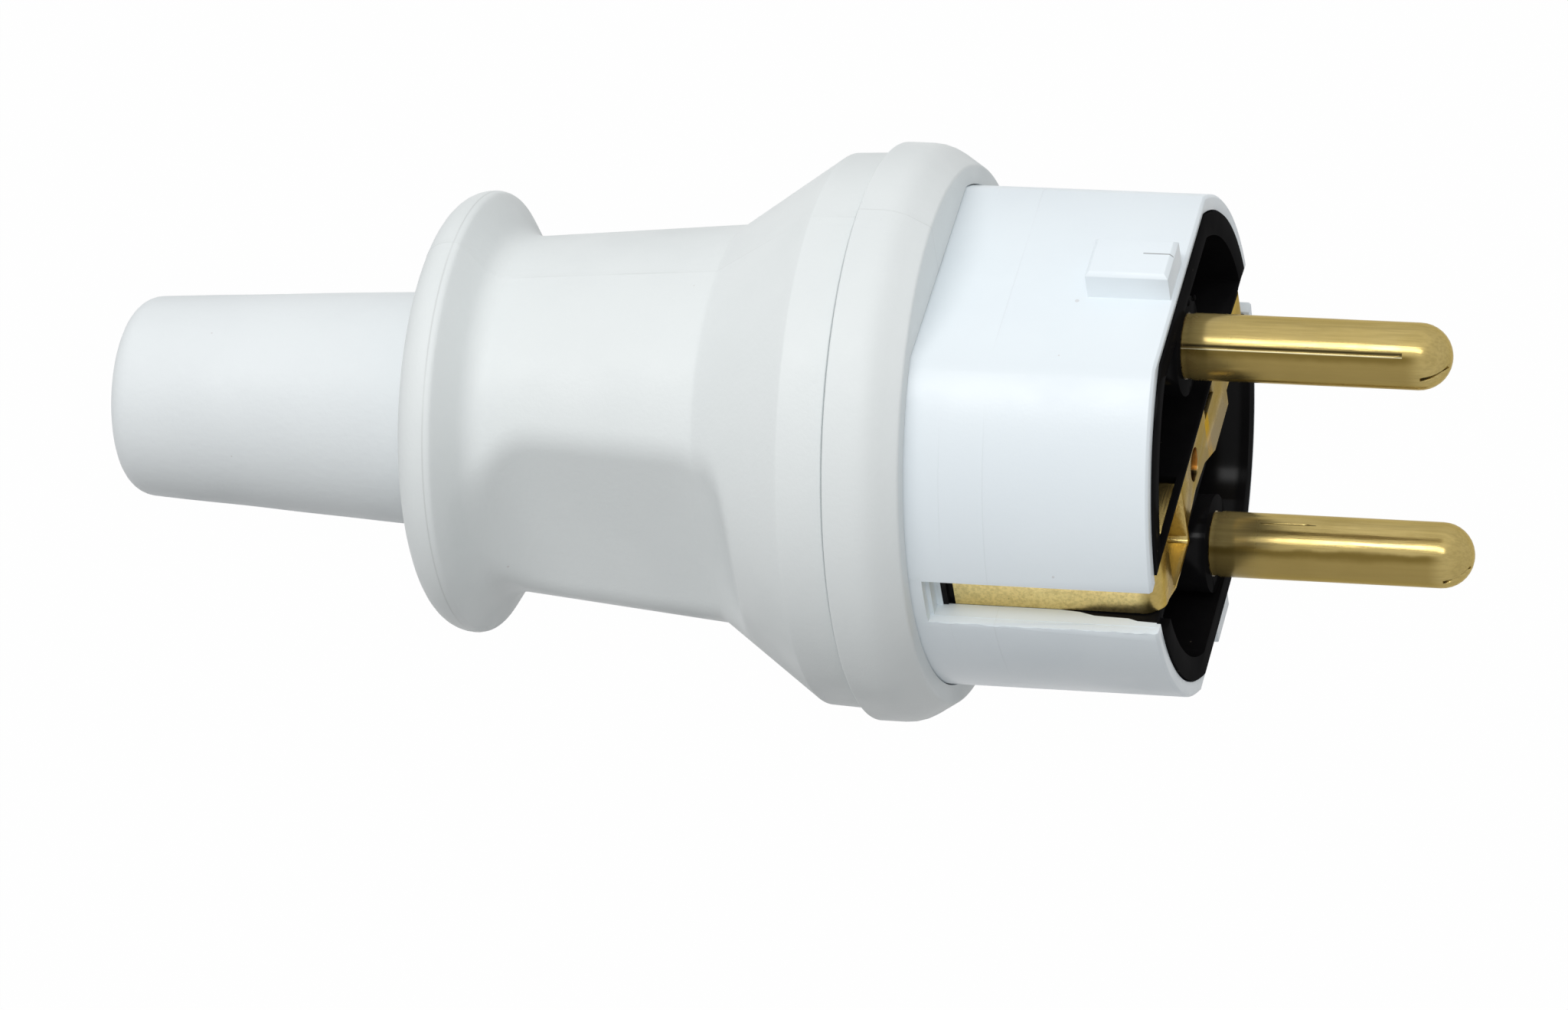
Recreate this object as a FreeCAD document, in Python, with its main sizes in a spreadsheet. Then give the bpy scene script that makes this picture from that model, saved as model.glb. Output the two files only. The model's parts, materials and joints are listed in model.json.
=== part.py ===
# Type F plug: a rewireable straight mains plug of the hybrid kind, with two 4.8 mm pins, an earth strap in
# both side slots and the hole for the earth pin of a type E socket.
# Frame: X runs along the axis towards the pin tips, with X = 0 at the plane of the front rim. Z runs
# through both pins, and Y through both earth slots. A depth is a distance behind the rim, towards -X.
import FreeCAD, Part
import Sketcher
import math
import operator
import os

# Every size in millimetres: name, value, what it is
SIZE_ROWS = [
    ("pin_pitch", 19.0, "distance between the pin axes"),
    ("pin_diameter", 4.8, "live pin diameter"),
    ("pin_neck_diameter", 3.8, "thinner neck of a pin inside the carrier"),
    ("pin_shoulder", 0.2, "gap between a pin's shoulder and its boss"),
    ("pin_reach", 19.0, "pin tip in front of the rim"),
    ("pin_dome", 2.4, "length of the pin's domed tip"),
    ("pin_seam", 0.14, "closed seam along the rolled pin, width"),
    ("pin_seam_depth", 0.3, "depth of that seam"),
    ("pin_slit", 0.25, "slit across the pin tip"),
    ("pin_slit_length", 2.0, "length of that slit"),
    ("pin_plate_width", 7.0, "terminal plate of a pin, along Z"),
    ("pin_plate_thickness", 1.6, "terminal plate of a pin, along Y"),
    ("pin_plate_margin", 1.0, "terminal block behind the plate of a pin"),
    ("fit_gap", 0.05, "gap round pins and other pressed pieces"),
    ("run_gap", 0.1, "gap between mouldings that slip together"),
    ("shell_radius", 18.1, "front shell, outer radius"),
    ("flat_drop", 2.6, "flats of the front shell, inside its round sides"),
    ("shell_wall", 1.1, "front shell wall on the round sides"),
    ("flat_wall", 0.6, "front shell wall at the flats"),
    ("shell_edge", 0.2, "bevel of the rim"),
    ("flange_front", 20.7, "depth of the flange's front face"),
    ("flange_thickness", 3.3, "flange of the front shell"),
    ("flange_overhang", 0.8, "flange outside the front shell"),
    ("ledge_width", 1.3, "edge of the carrier that the flange covers"),
    ("slot_low", 1.8, "earth slot below the middle plane"),
    ("slot_high", 2.05, "earth slot above the middle plane"),
    ("slot_wall", 0.9, "closed end of the earth slot, in front of the grip"),
    ("lug_half_width", 2.05, "key lug, half width"),
    ("lug_height", 2.2, "key lug above the flat"),
    ("lug_front", 0.3, "depth of the lug's front"),
    ("lug_rear", 6.3, "depth of the lug's rear"),
    ("lug_edge", 0.3, "bevel of the lug"),
    ("ear_inset", 5.2, "middle of a screw ear, inside the front shell's outside"),
    ("ear_radius", 3.2, "screw ear radius"),
    ("lip_thickness", 3.1, "lip of the grip in front of the flange"),
    ("lip_width", 1.35, "front edge of the grip outside the front shell"),
    ("ring_slope_length", 2.3, "length of the ring's sloping front"),
    ("ring_wall", 2.05, "wall of the ring outside the flange"),
    ("ring_ease", 0.8, "half length of the bevel that eases the ring's shoulder"),
    ("groove_place", 2.1, "fine groove, behind the flange's front"),
    ("groove_width", 0.25, "fine groove, width"),
    ("groove_wall", 0.85, "wall left under the fine groove"),
    ("band_wall", 1.25, "wall of the band behind the groove"),
    ("band_length", 2.4, "band behind the flange"),
    ("band_taper", 0.15, "how much the band narrows to the rear"),
    ("cone_length", 7.8, "length of the cone"),
    ("cone_end_wall", 3.4, "wall of the barrel at the cone"),
    ("disc_length", 5.0, "from the disc's rear face to the foot of its front face"),
    ("neck_wall", 1.8, "wall of the barrel at the disc"),
    ("neck_ease", 0.6, "half length of the bevel in the corner between barrel and disc"),
    ("disc_front_edge", 2.9, "from the disc's rear face to its front edge"),
    ("disc_front_drop", 0.1, "front edge of the disc below its widest line"),
    ("disc_seam", 2.45, "from the disc's rear face to its widest line"),
    ("disc_overhang", 3.3, "disc outside the neck of the barrel"),
    ("disc_rear", 56.2, "depth of the disc's rear face"),
    ("disc_round", 2.4, "rounding of the disc's rear"),
    ("rear_wall", 3.1, "wall at the rear of the grip"),
    ("cavity_step", 2.4, "seat behind the flange"),
    ("cavity_radius", 11.2, "hollow of the barrel"),
    ("cavity_half_width", 9.2, "hollow of the barrel across the finger pockets"),
    ("pocket_rear", 3.8, "from the disc's rear face to the finger pocket's rear edge"),
    ("pocket_rear_height", 4.2, "height of the pocket's rear wall"),
    ("pocket_floor_rear", 5.3, "from the disc's rear face to the floor's rear corner"),
    ("pocket_wall_rear", 1.5, "wall under the floor's rear corner"),
    ("pocket_rear_round", 5.5, "hollow at the rear corner"),
    ("pocket_floor_front", 1.6, "floor's front corner, in front of the cone's end"),
    ("pocket_wall_front", 3.22, "wall under the floor's front corner"),
    ("pocket_front_round", 5.0, "hollow at the front corner"),
    ("pocket_exit", 2.85, "end of the pocket's front wall, behind the band"),
    ("pocket_top", 1.0, "open top of the pocket cut above the ring"),
    ("sleeve_wall", 4.1, "wall of the bend relief sleeve at the disc"),
    ("sleeve_tip_wall", 2.85, "wall of the bend relief sleeve at its tip"),
    ("sleeve_length", 25.1, "bend relief sleeve behind the disc"),
    ("sleeve_bevel", 0.8, "each of the two bevels of the sleeve's tip"),
    ("sleeve_bore", 4.6, "cable way radius"),
    ("foot_gap", 0.4, "gap round the foot of the sleeve"),
    ("foot_length", 2.5, "thickness of that foot"),
    ("carrier_front", 0.3, "depth of the carrier's front edge"),
    ("carrier_band", 1.7, "wall round the carrier's pockets"),
    ("bar_half_width", 2.9, "bar across the carrier's face"),
    ("boss_front", 0.8, "depth of the pin bosses"),
    ("boss_wall", 1.2, "wall of a pin boss"),
    ("pocket_depth", 9.0, "deep pockets round the pins"),
    ("earth_pin_radius", 2.5, "well for the tip of an earth pin"),
    ("earth_pin_well", 4.0, "well for the tip of an earth pin, behind the socket"),
    ("clip_y", 9.8, "earth socket, axis to its centre"),
    ("clip_room", 0.15, "room between an earth pin and the socket wall"),
    ("clip_round", 1.0, "earth socket, corner"),
    ("clip_space", 5.7, "carrier behind the earth socket"),
    ("strap_thickness", 0.35, "earth strap sheet"),
    ("strap_inset", 1.6, "strap legs, inside the front shell's outside"),
    ("strap_gap", 1.6, "slot left open behind a strap leg"),
    ("strap_side_gap", 0.05, "gap between a strap leg and the side of its slot"),
    ("strap_face_low", 3.05, "strap face below the middle plane"),
    ("strap_face_high", 2.55, "strap face above the middle plane"),
    ("strap_near_low", 0.4, "near end of the strap face, lower corner below the middle plane"),
    ("strap_near_corner", 2.5, "next corner of the near end, inside the leg"),
    ("strap_near_corner_low", 2.1, "the same corner below the middle plane"),
    ("strap_waist_end_low", 1.7, "waist of the strap beside the earth socket, below the middle plane"),
    ("strap_waist_y", 3.5, "narrowest place of the waist, across"),
    ("strap_waist_low", 1.1, "narrowest place of the waist, below the middle plane"),
    ("strap_waist_far", 0.2, "far end of the waist, across"),
    ("strap_broad_start", 3.0, "start of the broad part, across"),
    ("strap_broad_end", 8.1, "end of the broad part, across"),
    ("strap_notch_end", 4.5, "end of the notch above the tail, across"),
    ("strap_hole_y", 2.9, "small hole in the strap, across"),
    ("strap_hole_z", 0.8, "small hole in the strap, up"),
    ("strap_hole_radius", 1.25, "small hole in the strap"),
    ("eyelet_wall", 0.3, "wall of the eyelet behind that hole"),
    ("eyelet_depth", 2.2, "depth of the eyelet's rear end"),
    ("leaf_thickness", 0.2, "spring leaf sheet in the earth socket"),
    ("leaf_front", 0.6, "depth of the leaf's front edge"),
    ("leaf_half_width", 1.8, "spring leaf, half width"),
    ("slab_length", 9.8, "terminal block behind the flange's front"),
    ("slab_low", 6.0, "terminal block below the pin plane"),
    ("slab_margin", 2.3, "terminal block outside a pin axis, along Z"),
    ("barrier_thickness", 1.2, "barrier wall"),
    ("barrier_top", 4.5, "barrier wall above the pin plane"),
    ("tongue_margin", 1.5, "tongue behind the cable clamp"),
    ("middle_margin", 0.4, "middle block behind the tail of the strap"),
    ("tongue_inset", 0.2, "cable tongue inside the ends of the clamp bar"),
    ("tongue_room", 4.6, "cable tongue, underside inside the hollow of the barrel"),
    ("tongue_top", 2.4, "cable tongue, seat of the cable"),
    ("terminal_space", 4.5, "line and neutral screws in front of the block's rear face"),
    ("earth_terminal_space", 2.3, "earth screw behind the block's rear face"),
    ("screw_radius", 1.5, "terminal screw shank"),
    ("screw_head_radius", 2.6, "terminal screw head"),
    ("screw_head_height", 1.9, "terminal screw head"),
    ("drive_radius", 1.3, "cross recess, half length"),
    ("drive_width", 0.7, "cross recess, width"),
    ("drive_depth", 0.9, "cross recess, depth"),
    ("screw_tail", 3.2, "terminal screw below the plate"),
    ("washer_half", 3.1, "wire washer, half width"),
    ("washer_thickness", 0.8, "wire washer"),
    ("tail_y", 1.5, "tail of the strap, axis to its lower face where it passes the carrier"),
    ("tail_high", 1.2, "tail of the strap above the middle plane there"),
    ("tail_half_width", 2.4, "tail of the strap, half width at the terminal"),
    ("tail_step", 3.0, "start of the tail's step in front of the block's rear face"),
    ("tail_step_length", 1.8, "length of that step"),
    ("tail_margin", 2.8, "tail of the strap behind the earth screw"),
    ("earth_nut_half", 2.75, "earth nut, half width"),
    ("earth_nut_thickness", 2.2, "earth nut"),
    ("clamp_space", 7.1, "from the foot of the sleeve to the middle of the cable clamp"),
    ("clamp_half_length", 3.0, "cable clamp bar along the cable"),
    ("clamp_margin", 2.5, "clamp bar outside a clamp screw"),
    ("clamp_low", 2.6, "cable clamp bar, underside"),
    ("clamp_thickness", 2.4, "cable clamp bar"),
    ("clamp_room", 2.4, "ends of the clamp bar inside the hollow of the barrel"),
    ("clamp_head_radius", 2.3, "clamp screw head"),
    ("clamp_head_height", 1.6, "clamp screw head"),
    ("nut_half", 2.2, "clamp nut, half width"),
    ("nut_thickness", 2.0, "clamp nut"),
    ("carrier_screw_reach", 8.7, "carrier screw in front of the flange's front"),
    ("carrier_screw_radius", 1.45, "carrier screw shank"),
    ("carrier_head_radius", 2.7, "carrier screw head"),
    ("carrier_head_height", 2.0, "carrier screw head"),
]

doc = FreeCAD.newDocument("TypeFPlug")
sheet = doc.addObject("Spreadsheet::Sheet", "Sizes")
for row, (alias, value, note) in enumerate(SIZE_ROWS, 1):
    sheet.set("A%d" % row, alias)
    sheet.set("B%d" % row, str(value))
    sheet.set("C%d" % row, note)
    sheet.setAlias("B%d" % row, alias)
doc.recompute()

OPERATIONS = {"+": operator.add, "-": operator.sub, "*": operator.mul, "/": operator.truediv}


class Size:
    # A number together with the expression that gives it from the sheet
    def __init__(self, number, text):
        self.number = number
        self.text = text

    def __add__(self, other):
        return combine(self, "+", other)

    def __radd__(self, other):
        return combine(other, "+", self)

    def __sub__(self, other):
        return combine(self, "-", other)

    def __rsub__(self, other):
        return combine(other, "-", self)

    def __mul__(self, other):
        return combine(self, "*", other)

    def __rmul__(self, other):
        return combine(other, "*", self)

    def __truediv__(self, other):
        return combine(self, "/", other)

    def __neg__(self):
        return Size(-self.number, "-(%s)" % self.text)


def as_size(value):
    if isinstance(value, Size):
        return value
    return Size(float(value), "(%r)" % float(value))


def combine(left, sign, right):
    left = as_size(left)
    right = as_size(right)
    return Size(OPERATIONS[sign](left.number, right.number), "(%s %s %s)" % (left.text, sign, right.text))


class Sizes:
    # The sheet's sizes as attributes
    def __getattr__(self, alias):
        return Size(float(sheet.get(alias)), "Sizes." + alias)


s = Sizes()

# Depths and radii that follow from the sizes above
s.shell_flat = s.shell_radius - s.flat_drop
s.flange_radius = s.shell_radius + s.flange_overhang
s.flange_rear = s.flange_front + s.flange_thickness
s.ring_front = s.flange_front - s.lip_thickness
s.ring_shoulder = s.ring_front + s.ring_slope_length
s.recess_radius = s.flange_radius + s.run_gap
s.lip_radius = s.shell_radius + s.run_gap
s.ring_front_radius = s.lip_radius + s.lip_width
s.ring_radius = s.recess_radius + s.ring_wall
s.groove_front = s.flange_front + s.groove_place
s.groove_rear = s.groove_front + s.groove_width
s.groove_floor = s.recess_radius + s.groove_wall
s.band_radius = s.recess_radius + s.band_wall
s.band_rear = s.flange_rear + s.band_length
s.band_rear_radius = s.band_radius - s.band_taper
s.cavity_front_radius = s.recess_radius - s.cavity_step
s.cone_end = s.band_rear + s.cone_length
s.cone_end_radius = s.cavity_radius + s.cone_end_wall
s.neck_depth = s.disc_rear - s.disc_length
s.neck_radius = s.cavity_radius + s.neck_wall
s.disc_radius = s.neck_radius + s.disc_overhang
s.sleeve_radius = s.sleeve_bore + s.sleeve_wall
s.sleeve_tip_radius = s.sleeve_bore + s.sleeve_tip_wall
s.sleeve_end = s.disc_rear + s.sleeve_length
s.foot_radius = s.cavity_radius - s.foot_gap
s.foot_rear = s.disc_rear - s.rear_wall
s.foot_front = s.foot_rear - s.foot_length
s.carrier_radius = s.shell_radius - s.shell_wall - s.run_gap
s.carrier_flat = s.shell_flat - s.flat_wall - s.run_gap
s.ear_y = (s.shell_radius - s.ear_inset) * 0.744
s.ear_z = (s.shell_radius - s.ear_inset) * 0.667
s.slot_depth = s.ring_front - s.slot_wall
s.strap_reach = s.shell_radius - s.strap_inset
s.strap_end = s.slot_depth - s.strap_gap
s.strap_half_width = s.slot_low - s.strap_side_gap
s.clip_half = s.earth_pin_radius + s.clip_room + s.strap_thickness
s.clip_depth = s.flange_front - s.clip_space
s.earth_pin_depth = s.clip_depth + s.earth_pin_well
s.barrier_z = s.pin_pitch / 4
s.slab_rear = s.flange_front + s.slab_length
s.slab_half_height = s.pin_pitch / 2 + s.slab_margin
s.terminal_depth = s.slab_rear - s.terminal_space
s.earth_terminal_depth = s.slab_rear + s.earth_terminal_space
s.tail_end = s.earth_terminal_depth + s.tail_margin
s.clamp_depth = s.foot_front - s.clamp_space
s.tongue_front = s.tail_end + s.middle_margin
s.tongue_rear = s.clamp_depth + s.clamp_half_length + s.tongue_margin
s.clamp_half_height = s.cavity_radius - s.clamp_room
s.clamp_screw_z = s.clamp_half_height - s.clamp_margin
s.tongue_low = s.cavity_radius - s.tongue_room

ALONG_X = FreeCAD.Rotation(FreeCAD.Vector(0, 1, 0), 90)
ALONG_Y = FreeCAD.Rotation(FreeCAD.Vector(1, 0, 0), -90)
UPRIGHT = FreeCAD.Rotation()


def bind(thing, name, value):
    # Gives a property its number and ties it to the sheet
    value = as_size(value)
    setattr(thing, name, value.number)
    thing.setExpression(name, value.text)


def place(thing, x, y, z, turn=UPRIGHT):
    corner = [as_size(value) for value in (x, y, z)]
    thing.Placement = FreeCAD.Placement(FreeCAD.Vector(*[value.number for value in corner]), turn)
    for axis, value in zip("xyz", corner):
        thing.setExpression("Placement.Base." + axis, value.text)
    return thing


def block(name, x, y, z):
    # Box between pairs of limits
    box = doc.addObject("Part::Box", name)
    for side, (low, high) in zip(("Length", "Width", "Height"), (x, y, z)):
        bind(box, side, as_size(high) - low)
    return place(box, x[0], y[0], z[0])


def rod(name, radius, start, end, y=0, z=0):
    # Cylinder along X
    cylinder = doc.addObject("Part::Cylinder", name)
    bind(cylinder, "Radius", radius)
    bind(cylinder, "Height", as_size(end) - start)
    return place(cylinder, start, y, z, ALONG_X)


def rod_y(name, radius, start, end, x, z):
    # Cylinder along Y
    cylinder = doc.addObject("Part::Cylinder", name)
    bind(cylinder, "Radius", radius)
    bind(cylinder, "Height", as_size(end) - start)
    return place(cylinder, x, start, z, ALONG_Y)


def joined(name, things):
    fused = doc.addObject("Part::MultiFuse", name)
    fused.Shapes = things
    return fused


def less(name, base, tools):
    result = doc.addObject("Part::Cut", name)
    result.Base = base
    result.Tool = tools[0] if len(tools) == 1 else joined(name + "_cuts", tools)
    return result


def new_body(name):
    body = doc.addObject("PartDesign::Body", name)
    body.Label = name
    return body


def sketch_on(body, name, role, offset=0):
    # Empty sketch on one of the body's own planes
    sketch = body.newObject("Sketcher::SketchObject", name)
    plane = [feature for feature in body.Origin.OriginFeatures if feature.Role == role][0]
    sketch.AttachmentSupport = [(plane, "")]
    sketch.MapMode = "FlatFace"
    offset = as_size(offset)
    sketch.AttachmentOffset = FreeCAD.Placement(FreeCAD.Vector(0, 0, offset.number), UPRIGHT)
    sketch.setExpression("AttachmentOffset.Base.z", offset.text)
    return sketch


class Fixing:
    # Collects a sketch's constraints and ties their values to the sheet
    def __init__(self, sketch):
        self.sketch = sketch
        self.constraints = []
        self.texts = []

    def add(self, *parts):
        self.constraints.append(Sketcher.Constraint(*parts))
        self.texts.append(None)

    def add_value(self, kind, *parts):
        value = as_size(parts[-1])
        self.constraints.append(Sketcher.Constraint(kind, *parts[:-1], value.number))
        self.texts.append(value.text)

    def point_at(self, geometry, end, x, y):
        # Holds a point at signed distances from the sketch's origin
        for kind, axis, value in (("DistanceX", -2, as_size(x)), ("DistanceY", -1, as_size(y))):
            if value.number == 0:
                self.add("PointOnObject", geometry, end, axis)
            elif value.number < 0:
                self.add_value(kind, geometry, end, -1, 1, -value)
            else:
                self.add_value(kind, -1, 1, geometry, end, value)

    def apply(self):
        start = len(self.sketch.Constraints)
        self.sketch.addConstraint(self.constraints)
        for number, text in enumerate(self.texts, start):
            if text:
                self.sketch.setExpression("Constraints[%d]" % number, text)


def flat_vector(x, y):
    return FreeCAD.Vector(as_size(x).number, as_size(y).number, 0)


def outline(sketch, corners):
    # Closed outline through (x, y) corners, each rounded where a radius follows
    points = [flat_vector(corner[0], corner[1]) for corner in corners]
    radii = [as_size(corner[2]) if len(corner) > 2 else None for corner in corners]
    count = len(corners)
    arrive = []
    leave = []
    centres = []
    for i, point in enumerate(points):
        back = (points[i - 1] - point).normalize()
        ahead = (points[(i + 1) % count] - point).normalize()
        if radii[i] is None:
            arrive.append(point)
            leave.append(point)
            centres.append(None)
            continue
        half = back.getAngle(ahead) / 2
        reach = radii[i].number / math.tan(half)
        arrive.append(point + back * reach)
        leave.append(point + ahead * reach)
        middle = (back + ahead).normalize()
        centres.append(point + middle * (radii[i].number / math.sin(half)))
    base = sketch.GeometryCount
    for i in range(count):
        sketch.addGeometry(Part.LineSegment(leave[i], arrive[(i + 1) % count]), False)
    fixing = Fixing(sketch)
    for i, corner in enumerate(corners):
        before = base + (i - 1) % count
        after = base + i
        if radii[i] is None:
            fixing.add("Coincident", before, 2, after, 1)
            fixing.point_at(after, 1, corner[0], corner[1])
            continue
        turns_left = (arrive[i] - points[i]).cross(leave[i] - points[i]).z < 0
        first, last = (arrive[i], leave[i]) if turns_left else (leave[i], arrive[i])
        start = math.atan2(first.y - centres[i].y, first.x - centres[i].x)
        end = math.atan2(last.y - centres[i].y, last.x - centres[i].x)
        circle = Part.Circle(centres[i], FreeCAD.Vector(0, 0, 1), radii[i].number)
        arc = sketch.addGeometry(Part.ArcOfCircle(circle, start, end), False)
        mark = sketch.addGeometry(Part.Point(points[i]), True)
        fixing.add("Tangent", before, 2, arc, 1 if turns_left else 2)
        fixing.add("Tangent", after, 1, arc, 2 if turns_left else 1)
        fixing.add_value("Radius", arc, radii[i])
        fixing.point_at(mark, 1, corner[0], corner[1])
        fixing.add("PointOnObject", mark, 1, before)
        fixing.add("PointOnObject", mark, 1, after)
    fixing.apply()
    return sketch


def rectangle(sketch, low_x, high_x, low_y, high_y):
    return outline(sketch, [(low_x, low_y), (high_x, low_y), (high_x, high_y), (low_x, high_y)])


def circle(sketch, x, y, radius):
    ring = sketch.addGeometry(Part.Circle(flat_vector(x, y), FreeCAD.Vector(0, 0, 1), as_size(radius).number), False)
    fixing = Fixing(sketch)
    fixing.add_value("Radius", ring, radius)
    fixing.point_at(ring, 3, x, y)
    fixing.apply()
    return sketch


def flatted(sketch, radius, low, high):
    # Disc about the origin, cut off straight below low and above high
    size = as_size(radius).number
    bottom = as_size(low).number
    top = as_size(high).number
    low_angle = math.asin(bottom / size)
    high_angle = math.asin(top / size)
    low_reach = size * math.cos(low_angle)
    high_reach = size * math.cos(high_angle)
    disc = Part.Circle(FreeCAD.Vector(0, 0, 0), FreeCAD.Vector(0, 0, 1), size)
    right = sketch.addGeometry(Part.ArcOfCircle(disc, low_angle, high_angle), False)
    left = sketch.addGeometry(Part.ArcOfCircle(disc, math.pi - high_angle, math.pi - low_angle), False)
    upper = sketch.addGeometry(Part.LineSegment(flat_vector(high_reach, top), flat_vector(-high_reach, top)), False)
    lower = sketch.addGeometry(Part.LineSegment(flat_vector(-low_reach, bottom), flat_vector(low_reach, bottom)), False)
    fixing = Fixing(sketch)
    for arc in (right, left):
        fixing.add("Coincident", arc, 3, -1, 1)
    fixing.add_value("Radius", right, radius)
    fixing.add("Equal", right, left)
    fixing.add("Coincident", right, 2, upper, 1)
    fixing.add("Coincident", upper, 2, left, 1)
    fixing.add("Coincident", left, 2, lower, 1)
    fixing.add("Coincident", lower, 2, right, 1)
    for line, value in ((upper, as_size(high)), (lower, as_size(low))):
        fixing.add("Horizontal", line)
        if value.number < 0:
            fixing.add_value("DistanceY", line, 1, -1, 1, -value)
        else:
            fixing.add_value("DistanceY", -1, 1, line, 1, value)
    fixing.apply()
    return sketch


def turned(body, name, corners):
    # Solid turned about the X axis from a half outline
    sketch = outline(sketch_on(body, name + "_profile", "XY_Plane"), corners)
    feature = body.newObject("PartDesign::Revolution", name)
    feature.Profile = sketch
    feature.ReferenceAxis = (sketch, ["H_Axis"])
    feature.Angle = 360
    return feature


def padded(body, name, draw, rear, front):
    # Adds what draw(sketch) outlines across the axis, from rear to front
    sketch = sketch_on(body, name + "_outline", "YZ_Plane", rear)
    draw(sketch)
    feature = body.newObject("PartDesign::Pad", name)
    feature.Profile = sketch
    bind(feature, "Length", as_size(front) - rear)
    return feature


def pocketed(body, name, draw, rear, front):
    # Removes what draw(sketch) outlines across the axis, from front back to rear
    sketch = sketch_on(body, name + "_outline", "YZ_Plane", front)
    draw(sketch)
    feature = body.newObject("PartDesign::Pocket", name)
    feature.Profile = sketch
    bind(feature, "Length", as_size(front) - rear)
    return feature


def cut_along(body, name, role, draw, half_length):
    # Removes what draw(sketch) outlines on a middle plane, equally to both sides
    sketch = sketch_on(body, name + "_outline", role)
    draw(sketch)
    feature = body.newObject("PartDesign::Pocket", name)
    feature.Profile = sketch
    feature.Midplane = True
    bind(feature, "Length", as_size(half_length) * 2)
    return feature


def mirrored(body, name, feature, role):
    copy = body.newObject("PartDesign::Mirrored", name)
    copy.Originals = [feature]
    plane = [item for item in body.Origin.OriginFeatures if item.Role == role][0]
    copy.MirrorPlane = (plane, [""])
    body.Tip = copy
    return copy


def bevelled(body, name, size, chosen):
    # Bevels the edges of the body so far that chosen(edge) accepts
    doc.recompute()
    base = body.Tip
    edges = ["Edge%d" % number for number, edge in enumerate(base.Shape.Edges, 1) if chosen(edge)]
    if not edges:
        raise ValueError(name + " found no edge")
    feature = body.newObject("PartDesign::Chamfer", name)
    feature.Base = (base, edges)
    bind(feature, "Size", size)
    return feature


def near(value, size, slack=0.02):
    return abs(value - as_size(size).number) < slack


def grip_body():
    body = new_body("grip_body")
    hole = s.sleeve_radius + s.run_gap
    recess_front = s.flange_front - s.run_gap
    recess_rear = s.flange_rear + s.run_gap
    slope = (s.band_rear_radius - s.cone_end_radius) / (s.cone_end - s.band_rear)
    cavity_end = s.band_rear + (s.cavity_front_radius - s.cavity_radius) / slope
    disc_edge = s.disc_rear - s.disc_front_edge
    disc_slope = (s.disc_overhang - s.disc_front_drop) / (s.neck_depth - disc_edge)
    barrel_slope = (s.cone_end_radius - s.neck_radius) / (s.neck_depth - s.cone_end)
    ring_slope = (s.ring_radius - s.ring_front_radius) / s.ring_slope_length
    turned(body, "grip_turned", [
        (-s.disc_rear, hole),
        *quarter_round(-s.disc_rear, s.disc_radius, s.disc_round),
        (-s.disc_rear + s.disc_seam, s.disc_radius),
        (-disc_edge, s.disc_radius - s.disc_front_drop),
        (-s.neck_depth - s.neck_ease, s.neck_radius - disc_slope * s.neck_ease),
        (-s.neck_depth + s.neck_ease * 2, s.neck_radius + barrel_slope * s.neck_ease * 2),
        (-s.cone_end, s.cone_end_radius),
        (-s.band_rear, s.band_rear_radius),
        (-s.groove_rear, s.band_radius),
        (-s.groove_rear, s.groove_floor),
        (-s.groove_front, s.groove_floor),
        (-s.groove_front, s.ring_radius),
        (-s.ring_shoulder - s.ring_ease, s.ring_radius),
        (-s.ring_shoulder + s.ring_ease, s.ring_radius - ring_slope * s.ring_ease),
        (-s.ring_front, s.ring_front_radius),
        (-s.ring_front, s.lip_radius),
        (-recess_front, s.lip_radius),
        (-recess_front, s.recess_radius),
        (-recess_rear, s.recess_radius),
        (-recess_rear, s.cavity_front_radius),
        (-s.band_rear, s.cavity_front_radius),
        (-cavity_end, s.cavity_radius),
        (-cavity_end, hole),
    ])
    # The lip closes in on the flats of the front shell
    lip_flat = s.shell_flat + s.run_gap
    for name, sign in (("lip_upper", 1), ("lip_lower", -1)):
        padded(body, name, lambda sketch: lip_segment(sketch, s.flange_radius, sign, lip_flat), -recess_front,
               -s.ring_front)
    barrel_half = s.cavity_half_width
    inside = s.cavity_radius
    pocketed(body, "barrel_hollow", lambda sketch: barrel_outline(sketch, inside, barrel_half),
             -s.foot_rear, -cavity_end)
    finger = cut_along(body, "finger_pocket", "XY_Plane", finger_outline, s.ring_radius)
    mirrored(body, "finger_pocket_far", finger, "XZ_Plane")
    return body


def quarter_round(x, y, size):
    # Corner between a face across the axis and the outside behind it, eased in three steps
    low = 1 - math.cos(math.pi / 6)
    high = 1 - math.sin(math.pi / 6)
    return [(x, y - size), (x + size * low, y - size * high), (x + size * high, y - size * low), (x + size, y)]


def lip_segment(sketch, radius, sign, flat):
    # Circle segment between the flat and the circle of the given radius
    size = as_size(radius).number
    level = as_size(flat).number
    half_angle = math.acos(level / size)
    middle = math.pi / 2 * sign
    disc = Part.Circle(FreeCAD.Vector(0, 0, 0), FreeCAD.Vector(0, 0, 1), size)
    arc = sketch.addGeometry(Part.ArcOfCircle(disc, middle - half_angle, middle + half_angle), False)
    reach = size * math.sin(half_angle)
    chord = sketch.addGeometry(Part.LineSegment(flat_vector(-reach * sign, level * sign),
                                                flat_vector(reach * sign, level * sign)), False)
    fixing = Fixing(sketch)
    fixing.add("Coincident", arc, 3, -1, 1)
    fixing.add_value("Radius", arc, radius)
    fixing.add("Coincident", arc, 2, chord, 1)
    fixing.add("Coincident", chord, 2, arc, 1)
    fixing.add("Horizontal", chord)
    if sign > 0:
        fixing.add_value("DistanceY", -1, 1, chord, 1, flat)
    else:
        fixing.add_value("DistanceY", chord, 1, -1, 1, flat)
    fixing.apply()


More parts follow.
